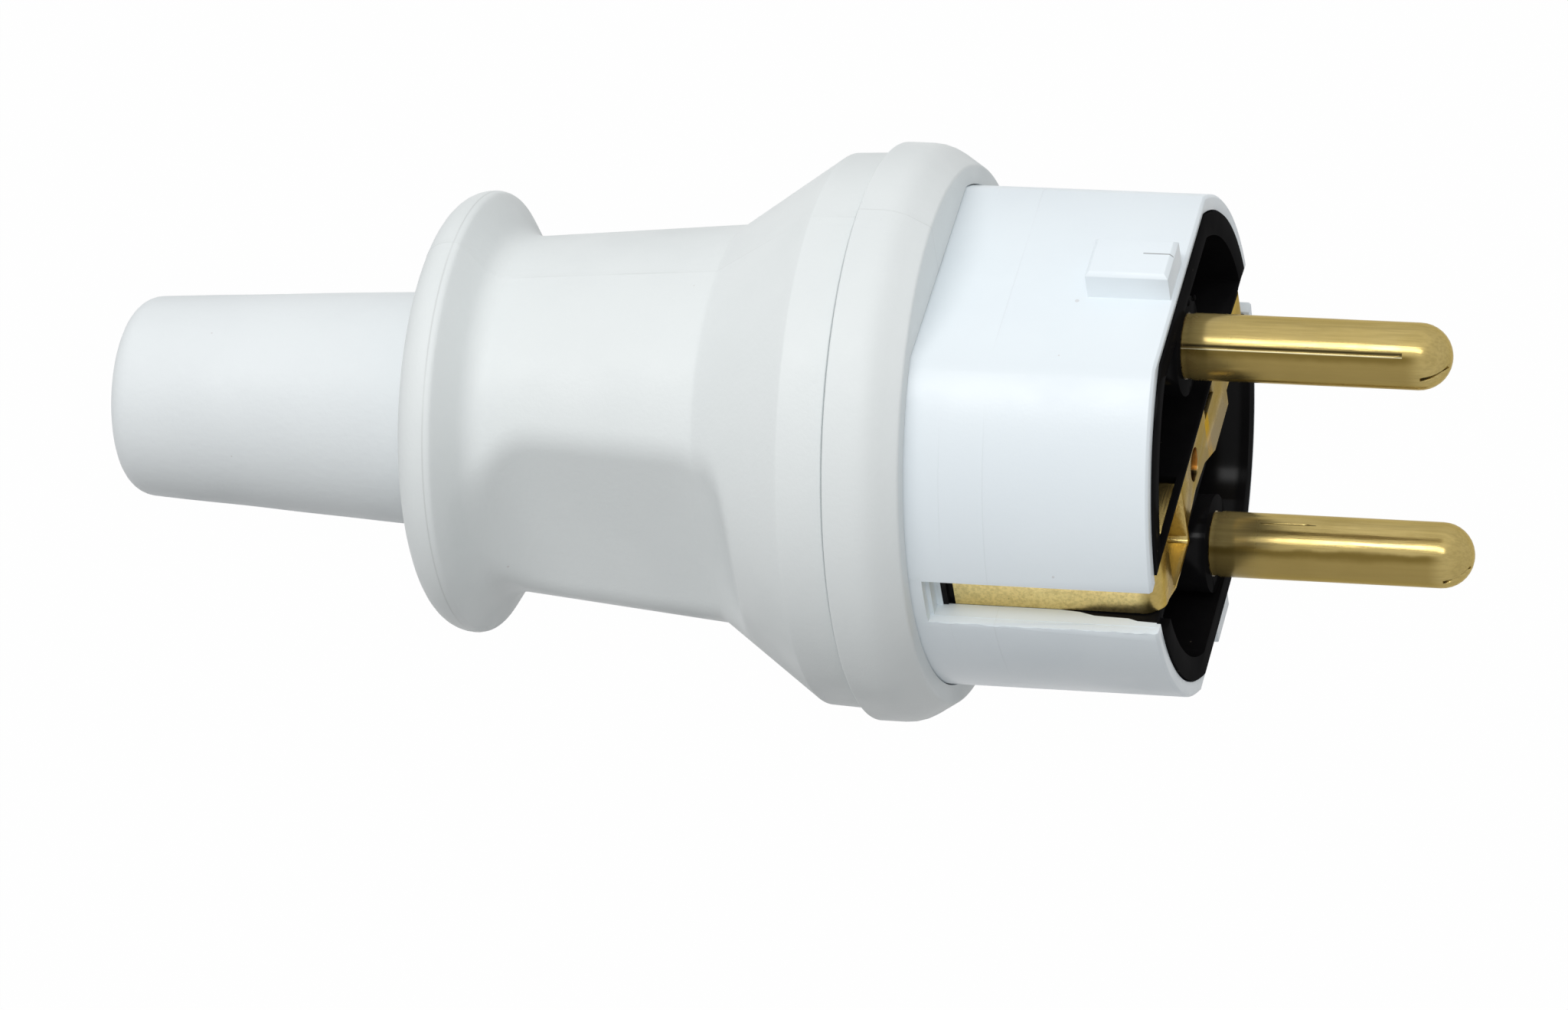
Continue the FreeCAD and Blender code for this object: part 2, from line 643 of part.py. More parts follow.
def barrel_outline(sketch, radius, half_width):
    # Disc about the origin with its sides cut off straight
    size = as_size(radius).number
    side = as_size(half_width).number
    angle = math.acos(side / size)
    reach = size * math.sin(angle)
    disc = Part.Circle(FreeCAD.Vector(0, 0, 0), FreeCAD.Vector(0, 0, 1), size)
    top = sketch.addGeometry(Part.ArcOfCircle(disc, angle, math.pi - angle), False)
    bottom = sketch.addGeometry(Part.ArcOfCircle(disc, math.pi + angle, -angle), False)
    left = sketch.addGeometry(Part.LineSegment(flat_vector(-side, reach), flat_vector(-side, -reach)), False)
    right = sketch.addGeometry(Part.LineSegment(flat_vector(side, -reach), flat_vector(side, reach)), False)
    fixing = Fixing(sketch)
    for arc in (top, bottom):
        fixing.add("Coincident", arc, 3, -1, 1)
    fixing.add_value("Radius", top, radius)
    fixing.add("Equal", top, bottom)
    fixing.add("Coincident", top, 2, left, 1)
    fixing.add("Coincident", left, 2, bottom, 1)
    fixing.add("Coincident", bottom, 2, right, 1)
    fixing.add("Coincident", right, 2, top, 1)
    for line in (left, right):
        fixing.add("Vertical", line)
    fixing.add_value("DistanceX", left, 1, -1, 1, half_width)
    fixing.add_value("DistanceX", -1, 1, right, 1, half_width)
    fixing.apply()


def finger_outline(sketch):
    # Flat floor that rises to the front, with a hollow corner at each end
    top = s.ring_radius + s.pocket_top
    floor_rear = s.cavity_half_width + s.pocket_wall_rear
    floor_front = s.cavity_half_width + s.pocket_wall_front
    outline(sketch, [
        (-s.disc_rear + s.pocket_rear, top),
        (-s.disc_rear + s.pocket_rear, floor_rear + s.pocket_rear_height),
        (-s.disc_rear + s.pocket_floor_rear, floor_rear, s.pocket_rear_round),
        (-s.cone_end + s.pocket_floor_front, floor_front, s.pocket_front_round),
        (-s.band_rear - s.pocket_exit, top),
    ])


def cable_sleeve():
    body = new_body("cable_sleeve")
    turned(body, "sleeve_turned", [
        (-s.sleeve_end, s.sleeve_bore),
        (-s.sleeve_end, s.sleeve_tip_radius - s.sleeve_bevel * 2),
        (-s.sleeve_end + s.sleeve_bevel / 2, s.sleeve_tip_radius - s.sleeve_bevel / 2),
        (-s.sleeve_end + s.sleeve_bevel * 2, s.sleeve_tip_radius),
        (-s.disc_rear, s.sleeve_radius),
        (-s.foot_rear, s.sleeve_radius),
        (-s.foot_rear, s.foot_radius),
        (-s.foot_front, s.foot_radius),
        (-s.foot_front, s.sleeve_bore),
    ])
    # Flats on the foot keep the sleeve from turning in the grip
    flat = s.cavity_half_width - s.run_gap
    for name, sign in (("near", -1), ("far", 1)):
        low, high = (flat, s.foot_radius * 2) if sign > 0 else (-s.foot_radius * 2, -flat)
        pocketed(body, "foot_flat_" + name,
                 lambda sketch: rectangle(sketch, low, high, -s.foot_radius, s.foot_radius), -s.foot_rear,
                 -s.foot_front)
    return body


def front_shell():
    body = new_body("front_shell")
    padded(body, "collar", lambda sketch: flatted(sketch, s.shell_radius, -s.shell_flat, s.shell_flat),
           -s.flange_front, 0)
    padded(body, "flange", lambda sketch: circle(sketch, 0, 0, s.flange_radius), -s.flange_rear, -s.flange_front)
    inner_flat = s.shell_flat - s.flat_wall
    pocketed(body, "well", lambda sketch: flatted(sketch, s.shell_radius - s.shell_wall, -inner_flat, inner_flat),
             -s.flange_front, 0)
    pocketed(body, "rear_opening", lambda sketch: circle(sketch, 0, 0, s.carrier_radius - s.ledge_width), -s.flange_rear,
             -s.flange_front)
    for name, sign in (("upper", 1), ("lower", -1)):
        padded(body, "ear_" + name, lambda sketch: circle(sketch, s.ear_y * sign, s.ear_z * sign, s.ear_radius),
               -s.flange_rear, -s.flange_front)
    root = s.shell_flat - s.flat_wall / 2
    tip = s.shell_flat + s.lug_height
    half = s.lug_half_width
    padded(body, "lug_upper", lambda sketch: rectangle(sketch, -half, half, root, tip), -s.lug_rear, -s.lug_front)
    padded(body, "lug_lower", lambda sketch: rectangle(sketch, -half, half, -tip, -root), -s.lug_rear, -s.lug_front)
    bevelled(body, "lug_edges", s.lug_edge, lambda edge: near(abs(edge.BoundBox.Center.z), tip)
             and edge.BoundBox.ZLength < s.lug_edge.number)
    bevelled(body, "rim_edges", s.shell_edge, lambda edge: near(edge.BoundBox.XMin, 0) and near(edge.BoundBox.XMax, 0)
             and (edge_reach(edge) > s.shell_radius.number - s.run_gap.number))
    for name, sign in (("upper", 1), ("lower", -1)):
        pocketed(body, "ear_hole_" + name,
                 lambda sketch: circle(sketch, s.ear_y * sign, s.ear_z * sign, s.carrier_screw_radius + s.run_gap),
                 -s.flange_rear, -s.flange_front)
    outside = s.shell_radius * 2
    pocketed(body, "earth_slots", lambda sketch: rectangle(sketch, -outside, outside, -s.slot_low, s.slot_high),
             -s.slot_depth, 0)
    return body


def edge_reach(edge):
    # Largest distance of an edge's points from the X axis
    points = edge.discretize(9)
    return max(math.hypot(point.y, point.z) for point in points)


def pin_z(sign):
    return s.pin_pitch / 2 * sign


def contact_carrier():
    body = new_body("contact_carrier")
    radius = s.carrier_radius
    flat = s.carrier_flat
    rear = -s.flange_front
    padded(body, "disc", lambda sketch: flatted(sketch, radius, -flat, flat), rear, -s.carrier_front)
    padded(body, "terminal_block", lambda sketch: rectangle(sketch, -s.slab_low, -s.pin_plate_thickness / 2,
                                                            -s.slab_half_height, s.slab_half_height),
           -s.slab_rear, rear)
    for name, sign in (("upper", 1), ("lower", -1)):
        low = s.barrier_z * sign - s.barrier_thickness / 2
        high = s.barrier_z * sign + s.barrier_thickness / 2
        padded(body, "barrier_" + name,
               lambda sketch: rectangle(sketch, -s.pin_plate_thickness, s.barrier_top, low, high),
               -s.slab_rear, rear)
    middle = s.barrier_z
    padded(body, "middle_block", lambda sketch: rectangle(sketch, -s.slab_low, -s.pin_plate_thickness / 2,
                                                          -middle, middle), -s.tongue_front, -s.slab_rear)
    padded(body, "tongue", lambda sketch: rectangle(sketch, -s.tongue_low, -s.tongue_top, -s.clamp_half_height + s.tongue_inset,
                                                    s.clamp_half_height - s.tongue_inset), -s.tongue_rear, -s.tongue_front)
    # Deep pockets round the pins, with the pin bosses left standing
    wall = radius - s.carrier_band
    top = flat - s.carrier_band
    for name, sign in (("upper", 1), ("lower", -1)):
        low, high = (s.bar_half_width, top) if sign > 0 else (-top, -s.bar_half_width)
        pocketed(body, "pin_pocket_" + name, lambda sketch: flatted(sketch, wall, low, high), -s.pocket_depth,
                 -s.carrier_front)
        padded(body, "pin_boss_" + name, lambda sketch: circle(sketch, 0, pin_z(sign), s.pin_diameter / 2 + s.boss_wall),
               -s.pocket_depth, -s.boss_front)
    # The bar is lower by the strap's thickness, and open round the earth socket
    room = s.clip_half + s.run_gap * 2
    pocketed(body, "strap_seat", lambda sketch: rectangle(sketch, -radius * 2, radius * 2, -s.strap_face_low - s.run_gap,
                                                          s.strap_face_high + s.run_gap), -s.strap_thickness,
             -s.carrier_front)
    pocketed(body, "socket_room", lambda sketch: rectangle(sketch, -s.clip_y - room, -s.clip_y + room, -room, room),
             -s.clip_depth - s.run_gap, -s.strap_thickness)
    pocketed(body, "socket_well", lambda sketch: circle(sketch, -s.clip_y, 0, s.earth_pin_radius),
             -s.earth_pin_depth, -s.clip_depth)
    pocketed(body, "eyelet_hole",
             lambda sketch: circle(sketch, -s.strap_hole_y, s.strap_hole_z,
                                   s.strap_hole_radius + s.eyelet_wall + s.fit_gap),
             -s.eyelet_depth - s.run_gap, -s.strap_thickness)
    leg = s.strap_reach - s.strap_thickness - s.fit_gap
    for name, sign in (("near", -1), ("far", 1)):
        low, high = (leg, radius * 2) if sign > 0 else (-radius * 2, -leg)
        pocketed(body, "leg_seat_" + name,
                 lambda sketch: rectangle(sketch, low, high, -s.strap_half_width - s.run_gap,
                                          s.strap_half_width + s.run_gap),
                 -s.slot_depth, -s.carrier_front)
    for name, sign in (("upper", 1), ("lower", -1)):
        pocketed(body, "pin_bore_" + name,
                 lambda sketch: circle(sketch, 0, pin_z(sign), s.pin_neck_diameter / 2 + s.fit_gap), -s.slab_rear,
                 -s.boss_front)
        pocketed(body, "pilot_" + name,
                 lambda sketch: circle(sketch, s.ear_y * sign, s.ear_z * sign, s.carrier_screw_radius + s.fit_gap),
                 rear, -s.flange_front + s.carrier_screw_reach + s.run_gap)
    # Slot for the tail of the strap
    tail_top = s.tail_y + s.strap_thickness
    pocketed(body, "tail_slot",
             lambda sketch: rectangle(sketch, s.tail_y - s.fit_gap, tail_top + s.fit_gap,
                                      -s.tail_half_width - s.fit_gap, s.tail_high + s.fit_gap),
             rear, -s.strap_thickness)
    # Round seat for the cable, and upright holes for the terminal and clamp screws
    pocketed(body, "saddle", lambda sketch: circle(sketch, 0, 0, s.sleeve_bore), -s.tongue_rear, -s.tongue_front)
    holes = [(s.terminal_depth, pin_z(1), s.screw_radius), (s.terminal_depth, pin_z(-1), s.screw_radius),
             (s.earth_terminal_depth, 0, s.screw_radius), (s.clamp_depth, s.clamp_screw_z, s.screw_radius),
             (s.clamp_depth, -s.clamp_screw_z, s.screw_radius)]
    sketch = sketch_on(body, "screw_holes_outline", "XZ_Plane")
    for depth, z, hole in holes:
        circle(sketch, -depth, z, hole + s.run_gap)
    feature = body.newObject("PartDesign::Pocket", "screw_holes")
    feature.Profile = sketch
    feature.Midplane = True
    bind(feature, "Length", s.slab_low * 4)
    # Square seats for the clamp nuts, from below
    nuts = sketch_on(body, "nut_seats_outline", "XZ_Plane", s.tongue_low)
    half = s.nut_half + s.run_gap
    for sign in (1, -1):
        rectangle(nuts, -s.clamp_depth - half, -s.clamp_depth + half, s.clamp_screw_z * sign - half,
                  s.clamp_screw_z * sign + half)
    feature = body.newObject("PartDesign::Pocket", "nut_seats")
    feature.Profile = nuts
    bind(feature, "Length", s.nut_thickness)
    return body


def contact_pin(name, sign):
    # Rolled pin with a closed seam, a domed tip with a slit, and a flat terminal plate behind
    z = pin_z(sign)
    radius = s.pin_diameter / 2
    shoulder = s.pin_reach - s.pin_dome
    start = -s.flange_front
    front = -s.boss_front + s.pin_shoulder
    plate_end = s.slab_rear - s.pin_plate_margin
    plate = block(name + "_plate", (-plate_end, start), (-s.pin_plate_thickness / 2, s.pin_plate_thickness / 2),
                  (z - s.pin_plate_width / 2, z + s.pin_plate_width / 2))
    outside = joined(name + "_outside", [rod(name + "_round", radius, front, shoulder, 0, z),
                                         rod(name + "_neck", s.pin_neck_diameter / 2, start, front, 0, z), plate]
                     + dome(name + "_dome", radius, shoulder, s.pin_dome, z))
    seam = block(name + "_seam", (front, shoulder), (-radius * 2, s.pin_seam_depth - radius),
                 (z - s.pin_seam / 2, z + s.pin_seam / 2))
    slit = block(name + "_slit", (s.pin_reach - s.pin_slit_length, s.pin_reach + radius), (-radius * 2, radius * 2),
                 (z - s.pin_slit / 2, z + s.pin_slit / 2))
    thread = rod_y(name + "_thread", s.screw_radius + s.fit_gap, -radius, radius, -s.terminal_depth, z)
    return label(less(name, outside, [seam, slit, thread]), name)


def dome(name, radius, start, length, z):
    # Domed tip in steps that narrow like a quarter circle
    steps = [(math.sin(math.radians(angle)), math.cos(math.radians(angle))) for angle in (0, 28, 56, 80)]
    made = []
    for number in range(3):
        (near_share, near_width), (far_share, far_width) = steps[number:number + 2]
        frustum = doc.addObject("Part::Cone", "%s_%d" % (name, number + 1))
        bind(frustum, "Radius1", radius * near_width)
        bind(frustum, "Radius2", radius * far_width)
        bind(frustum, "Height", length * (far_share - near_share) / steps[3][0])
        made.append(place(frustum, start + length * near_share / steps[3][0], 0, z, ALONG_X))
    return made


def earth_strap():
    body = new_body("earth_strap")
    sheet_rear = -s.strap_thickness
    reach = s.strap_reach
    half = s.strap_half_width
    near_side = -s.clip_y - s.clip_half
    far_side = -s.clip_y + s.clip_half
    padded(body, "face", lambda sketch: outline(sketch, [
        (-reach, -s.strap_near_low),
        (-reach + s.strap_near_corner, -s.strap_near_corner_low),
        (near_side + s.clip_round, -s.clip_half),
        (far_side, -s.clip_half),
        (far_side, -s.strap_waist_end_low),
        (-s.strap_waist_y, -s.strap_waist_low),
        (-s.strap_waist_far, -s.strap_waist_low - s.strap_thickness),
        (s.strap_broad_start, -s.strap_face_low),
        (s.strap_broad_end, -s.strap_face_low),
        (s.strap_broad_end, -half),
        (reach, -half),
        (reach, half),
        (s.strap_broad_end, s.strap_face_high),
        (s.strap_notch_end, s.strap_face_high),
        (s.strap_notch_end, s.tail_high),
        (s.tail_y, s.tail_high),
        (s.tail_y, s.strap_face_high),
        (-reach, s.strap_face_high),
    ]), sheet_rear, 0)
    room = s.clip_half - s.strap_thickness
    padded(body, "socket_tube", lambda sketch: square_outline(sketch, -s.clip_y, s.clip_half, s.clip_round),
           -s.clip_depth, sheet_rear)
    pocketed(body, "socket_inside", lambda sketch: square_outline(sketch, -s.clip_y, room, s.clip_round / 2),
             -s.clip_depth, 0)
    padded(body, "eyelet", lambda sketch: circle(sketch, -s.strap_hole_y, s.strap_hole_z,
                                                 s.strap_hole_radius + s.eyelet_wall), -s.eyelet_depth, sheet_rear)
    pocketed(body, "hole", lambda sketch: circle(sketch, -s.strap_hole_y, s.strap_hole_z, s.strap_hole_radius),
             -s.eyelet_depth, 0)
    for name, sign in (("near", -1), ("far", 1)):
        low, high = (reach - s.strap_thickness, reach) if sign > 0 else (-reach, -(reach - s.strap_thickness))
        padded(body, "leg_" + name, lambda sketch: rectangle(sketch, low, high, -half, half), -s.strap_end,
               sheet_rear)
    # The tail runs back through the carrier and steps down onto the terminal block
    rear = -s.flange_front
    tail_top = s.tail_y + s.strap_thickness
    seat = -s.pin_plate_thickness / 2
    padded(body, "tail_front", lambda sketch: rectangle(sketch, s.tail_y, tail_top, -s.tail_half_width, s.tail_high),
           rear, sheet_rear)
    step_front = s.tail_step - s.slab_rear
    step_rear = step_front - s.tail_step_length
    sketch = sketch_on(body, "tail_rear_outline", "XY_Plane")
    outline(sketch, [
        (rear, tail_top),
        (step_front, tail_top),
        (step_rear, seat + s.strap_thickness),
        (-s.tail_end, seat + s.strap_thickness),
        (-s.tail_end, seat),
        (step_rear - s.strap_thickness / 4, seat),
        (step_front - s.strap_thickness / 4, s.tail_y),
        (rear, s.tail_y),
    ])
    feature = body.newObject("PartDesign::Pad", "tail_rear")
    feature.Profile = sketch
    feature.Midplane = True
    bind(feature, "Length", s.tail_half_width * 2)
    cut_along(body, "tail_hole", "XZ_Plane",
              lambda sketch: circle(sketch, -s.earth_terminal_depth, 0, s.screw_radius + s.run_gap), s.slab_low)
    return body


def square_outline(sketch, y, half, corner):
    return outline(sketch, [(y - half, -half, corner), (y + half, -half, corner), (y + half, half, corner),
                            (y - half, half, corner)])


def label(thing, name):
    thing.Label = name
    return thing


def cross(name, x, y, z, turn):
    # Cross recess of a screw head whose face points along +Y or -X at the given place
    reach = s.drive_radius
    half = s.drive_width / 2
    depth = s.drive_depth
    if turn == "y":
        first = block(name + "_first", (x - reach, x + reach), (y - depth, y + depth), (z - half, z + half))
        second = block(name + "_second", (x - half, x + half), (y - depth, y + depth), (z - reach, z + reach))
    else:
        first = block(name + "_first", (x - depth, x + depth), (y - reach, y + reach), (z - half, z + half))
        second = block(name + "_second", (x - depth, x + depth), (y - half, y + half), (z - reach, z + reach))
    return [first, second]


def upright_screw(name, x, z, seat, tail, head_radius, head_height):
    # Screw along Y, its head above the seat
    solid = joined(name + "_solid", [
        rod_y(name + "_shank", s.screw_radius, tail, seat + head_height / 2, x, z),
        rod_y(name + "_head", head_radius, seat, seat + head_height, x, z),
    ])
    return label(less(name, solid, cross(name + "_cross", x, seat + head_height, z, "y")), name)


def square_washer(name, x, z, half, low, thickness, hole):
    plate = block(name + "_plate", (x - half, x + half), (low, low + thickness), (z - half, z + half))
    drilled = rod_y(name + "_hole", hole, low - thickness, low + thickness * 2, x, z)
    return label(less(name, plate, [drilled]), name)


def terminal_parts():
    # Pan head screws with a square washer each, over the plates of the pins and the tail of the strap
    made = []
    top = s.pin_plate_thickness / 2
    for name, z in (("line", pin_z(1)), ("neutral", pin_z(-1))):
        x = -s.terminal_depth
        made.append(square_washer(name + "_wire_washer", x, z, s.washer_half, top, s.washer_thickness,
                                  s.screw_radius + s.run_gap))
        seat = top + s.washer_thickness
        made.append(upright_screw(name + "_terminal_screw", x, z, seat, -s.screw_tail, s.screw_head_radius,
                                  s.screw_head_height))
    return made


def earth_terminal_parts():
    # The same screw and washer on the tail of the earth strap, with a nut below the block
    x = -s.earth_terminal_depth
    low = s.strap_thickness - s.pin_plate_thickness / 2
    made = [square_washer("earth_wire_washer", x, 0, s.washer_half, low, s.washer_thickness,
                          s.screw_radius + s.run_gap)]
    made.append(upright_screw("earth_terminal_screw", x, 0, low + s.washer_thickness, -s.slab_low - s.earth_nut_thickness,
                              s.screw_head_radius, s.screw_head_height))
    made.append(square_washer("earth_terminal_nut", x, 0, s.earth_nut_half, -s.slab_low - s.earth_nut_thickness,
                              s.earth_nut_thickness, s.screw_radius + s.fit_gap))
    return made


def cable_clamp():
    # Bar over the cable way, drawn down by two screws into square nuts
    x = -s.clamp_depth
    bar = block("clamp_bar_block", (x - s.clamp_half_length, x + s.clamp_half_length),
                (s.clamp_low, s.clamp_low + s.clamp_thickness), (-s.clamp_half_height, s.clamp_half_height))
    cuts = [rod("clamp_bar_seat", s.sleeve_bore, x - s.clamp_half_length * 2, x + s.clamp_half_length * 2)]
    for name, sign in (("left", 1), ("right", -1)):
        cuts.append(rod_y("clamp_bar_hole_" + name, s.screw_radius + s.run_gap, 0, s.clamp_low * 4, x,
                          s.clamp_screw_z * sign))
    made = [label(less("cable_clamp_bar", bar, cuts), "cable_clamp_bar")]
    for name, sign in (("left", 1), ("right", -1)):
        z = s.clamp_screw_z * sign
        made.append(upright_screw("cable_clamp_screw_" + name, x, z, s.clamp_low + s.clamp_thickness, -s.tongue_low,
                                  s.clamp_head_radius, s.clamp_head_height))
        made.append(square_washer("cable_clamp_nut_" + name, x, z, s.nut_half, -s.tongue_low,
                                  s.nut_thickness, s.screw_radius + s.fit_gap))
    return made


def carrier_screws():
    # Screws along X that hold the carrier to the ears of the front shell
    made = []
    head_front = -s.flange_rear
    for name, sign in (("upper", 1), ("lower", -1)):
        y = s.ear_y * sign
        z = s.ear_z * sign
        solid = joined("carrier_screw_solid_" + name, [
            rod("carrier_screw_shank_" + name, s.carrier_screw_radius, head_front - s.carrier_head_height / 2,
                -s.flange_front + s.carrier_screw_reach, y, z),
            rod("carrier_screw_head_" + name, s.carrier_head_radius, head_front - s.carrier_head_height, head_front,
                y, z),
        ])
        recess = cross("carrier_screw_cross_" + name, head_front - s.carrier_head_height, y, z, "x")
        made.append(label(less("carrier_screw_" + name, solid, recess), "carrier_screw_" + name))
    return made


def earth_socket_clip():
    # Spring leaf bent from sheet, held in the strap's socket tube
    inside = s.clip_half - s.strap_thickness - s.fit_gap
    leaf = block("socket_leaf", (-s.clip_depth, -s.leaf_front), (-s.clip_y - s.leaf_half_width,
                 -s.clip_y + s.leaf_half_width), (inside - s.leaf_thickness, inside))
    return label(leaf, "earth_socket_clip")


nodes = [grip_body(), cable_sleeve(), front_shell(), contact_carrier()]
nodes += [contact_pin("line_pin", 1), contact_pin("neutral_pin", -1), earth_strap(), earth_socket_clip()]
nodes += terminal_parts() + earth_terminal_parts() + cable_clamp() + carrier_screws()

doc.recompute()
for thing in doc.Objects:
    if "Invalid" in thing.State or "Error" in thing.State:
        raise RuntimeError("%s failed: %s" % (thing.Label, thing.State))
for node in nodes:
    if node.Shape.isNull() or not node.Shape.isValid():
        raise RuntimeError(node.Label + " has no valid shape")

os.makedirs("parts", exist_ok=True)
for node in nodes:
    node.Shape.exportStep("parts/%s.step" % node.Label)
    print(node.Label, len(node.Shape.Solids), round(node.Shape.Volume, 1))
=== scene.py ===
import bpy
import bmesh
import json
import math
from mathutils import Matrix, Vector, noise


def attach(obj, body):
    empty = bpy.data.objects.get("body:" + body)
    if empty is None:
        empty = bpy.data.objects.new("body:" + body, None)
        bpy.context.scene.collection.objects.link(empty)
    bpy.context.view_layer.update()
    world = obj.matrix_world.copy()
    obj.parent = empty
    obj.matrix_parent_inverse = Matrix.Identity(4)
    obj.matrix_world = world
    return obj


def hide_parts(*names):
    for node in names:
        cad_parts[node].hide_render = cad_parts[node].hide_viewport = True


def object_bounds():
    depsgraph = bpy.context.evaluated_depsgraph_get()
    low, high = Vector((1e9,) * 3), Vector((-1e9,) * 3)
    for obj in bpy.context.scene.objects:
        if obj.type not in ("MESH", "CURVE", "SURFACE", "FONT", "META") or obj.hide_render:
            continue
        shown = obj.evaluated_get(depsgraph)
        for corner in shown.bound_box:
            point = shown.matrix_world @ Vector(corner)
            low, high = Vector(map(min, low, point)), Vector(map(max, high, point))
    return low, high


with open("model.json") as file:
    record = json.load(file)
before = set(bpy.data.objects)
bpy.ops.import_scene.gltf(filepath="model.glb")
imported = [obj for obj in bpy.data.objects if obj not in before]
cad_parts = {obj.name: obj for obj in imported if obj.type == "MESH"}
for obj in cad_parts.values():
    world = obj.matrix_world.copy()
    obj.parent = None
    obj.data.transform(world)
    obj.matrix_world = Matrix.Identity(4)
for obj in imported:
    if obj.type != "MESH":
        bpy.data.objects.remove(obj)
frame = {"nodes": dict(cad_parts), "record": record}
cadLow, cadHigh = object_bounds()
mm = 0.001
print("frame loaded:", len(frame["nodes"]), "nodes")


def clearSelection():
    for item in bpy.context.selected_objects:
        item.select_set(False)


def makeActive(piece):
    clearSelection()
    piece.select_set(True)
    bpy.context.view_layer.objects.active = piece


# camera

camera = {
    "place": (0.115214, -0.399993, 0.361959),
    "right": (0.9639, 0.2264, -0.1399),
    "up": (-0.0492, 0.6682, 0.7423),
    "back": (0.2616, -0.7087, 0.6552),
    "lens": 175.78,  # for a 36 mm wide sensor
}


def makeCamera(settings):
    data = bpy.data.cameras.new("plugCamera")
    data.lens = settings["lens"]
    data.sensor_width = 36
    data.clip_start = 0.01
    data.clip_end = 20
    view = bpy.data.objects.new("plugCamera", data)
    bpy.context.scene.collection.objects.link(view)
    turn = Matrix((settings["right"], settings["up"], settings["back"])).transposed().to_4x4()
    view.matrix_world = Matrix.Translation(settings["place"]) @ turn
    bpy.context.scene.camera = view
    return view


makeCamera(camera)
print("camera set")


# light, floor and background

studio = {
    "floorDrop": 0.09,  # floor below the lowest point
    "floorSize": 3.0,
    "floorGlow": 0.99,  # share of plain white in what the camera sees of the floor
    "floorShade": 0.36,  # how much light the floor gives back
    "skyLight": 0.57,
    "lamps": [
        # place, length, width, watts
        ((-0.14, -0.36, 0.76), 0.85, 0.16, 3.3),
        ((0.0, 0.1, 0.85), 1.2, 1.2, 1.0),
    ],
}


def seenDirectly(nodes, links):
    # 1 for the camera and for what metal and glass reflect, 0 for light on the object
    path = nodes.new("ShaderNodeLightPath")
    first = nodes.new("ShaderNodeMath")
    first.operation = "MAXIMUM"
    links.new(path.outputs["Is Camera Ray"], first.inputs[0])
    links.new(path.outputs["Is Glossy Ray"], first.inputs[1])
    second = nodes.new("ShaderNodeMath")
    second.operation = "MAXIMUM"
    links.new(first.outputs[0], second.inputs[0])
    links.new(path.outputs["Is Transmission Ray"], second.inputs[1])
    return second.outputs[0]


def makeStudio(settings):
    scene = bpy.context.scene
    scene.view_settings.view_transform = "Standard"
    world = bpy.data.worlds.new("studioWorld")
    scene.world = world
    world.use_nodes = True
    nodes, links = world.node_tree.nodes, world.node_tree.links
    nodes.clear()
    output = nodes.new("ShaderNodeOutputWorld")
    mix = nodes.new("ShaderNodeMixShader")
    soft = nodes.new("ShaderNodeBackground")
    soft.inputs["Strength"].default_value = settings["skyLight"]
    soft.inputs["Color"].default_value = (1, 1, 1, 1)
    white = nodes.new("ShaderNodeBackground")
    white.inputs["Color"].default_value = (1, 1, 1, 1)
    links.new(seenDirectly(nodes, links), mix.inputs[0])
    links.new(soft.outputs[0], mix.inputs[1])
    links.new(white.outputs[0], mix.inputs[2])
    links.new(mix.outputs[0], output.inputs["Surface"])

    clearSelection()
    bpy.ops.mesh.primitive_plane_add(size=settings["floorSize"],
                                     location=(0, 0, cadLow.z - settings["floorDrop"]))
    floor = bpy.context.active_object
    floor.name = "studioFloor"
    paint = bpy.data.materials.new("floorWhite")
    paint.use_nodes = True
    nodes, links = paint.node_tree.nodes, paint.node_tree.links
    nodes.clear()
    output = nodes.new("ShaderNodeOutputMaterial")
    mix = nodes.new("ShaderNodeMixShader")
    matt = nodes.new("ShaderNodeBsdfDiffuse")
    matt.inputs["Color"].default_value = (*[settings["floorShade"]] * 3, 1)
    glow = nodes.new("ShaderNodeEmission")
    share = nodes.new("ShaderNodeMath")
    share.operation = "MULTIPLY"
    share.inputs[1].default_value = settings["floorGlow"]
    links.new(seenDirectly(nodes, links), share.inputs[0])
    links.new(share.outputs[0], mix.inputs[0])
    links.new(matt.outputs[0], mix.inputs[1])
    links.new(glow.outputs[0], mix.inputs[2])
    links.new(mix.outputs[0], output.inputs["Surface"])
    floor.data.materials.append(paint)

    for number, (place, length, width, watts) in enumerate(settings["lamps"]):
        data = bpy.data.lights.new("softLamp%d" % number, "AREA")
        data.energy = watts
        data.shape = "RECTANGLE"
        data.size = length
        data.size_y = width
        lamp = bpy.data.objects.new("softLamp%d" % number, data)
        scene.collection.objects.link(lamp)
        lamp.location = place
        aim = Vector((-0.03, 0, 0)) - Vector(place)
        lamp.rotation_euler = aim.to_track_quat("-Z", "Y").to_euler()


makeStudio(studio)
print("studio set")


# shared surface effects

def newGroup(name, inputs, outputs):
    group = bpy.data.node_groups.new(name, "ShaderNodeTree")
    for socketName, kind, value in inputs:
        socket = group.interface.new_socket(name=socketName, in_out="INPUT", socket_type=kind)
        socket.default_value = value
    for socketName, kind in outputs:
        group.interface.new_socket(name=socketName, in_out="OUTPUT", socket_type=kind)
    return group, group.nodes.new("NodeGroupInput"), group.nodes.new("NodeGroupOutput")


def addNode(tree, kind, values=None, **settings):
    # New node with its own settings, and numbers or links for its inputs
    node = tree.nodes.new(kind)
    for key, value in settings.items():
        setattr(node, key, value)
    for key, value in (values or {}).items():
        if isinstance(value, bpy.types.NodeSocket):
            tree.links.new(value, node.inputs[key])
        else:
            node.inputs[key].default_value = value
    return node


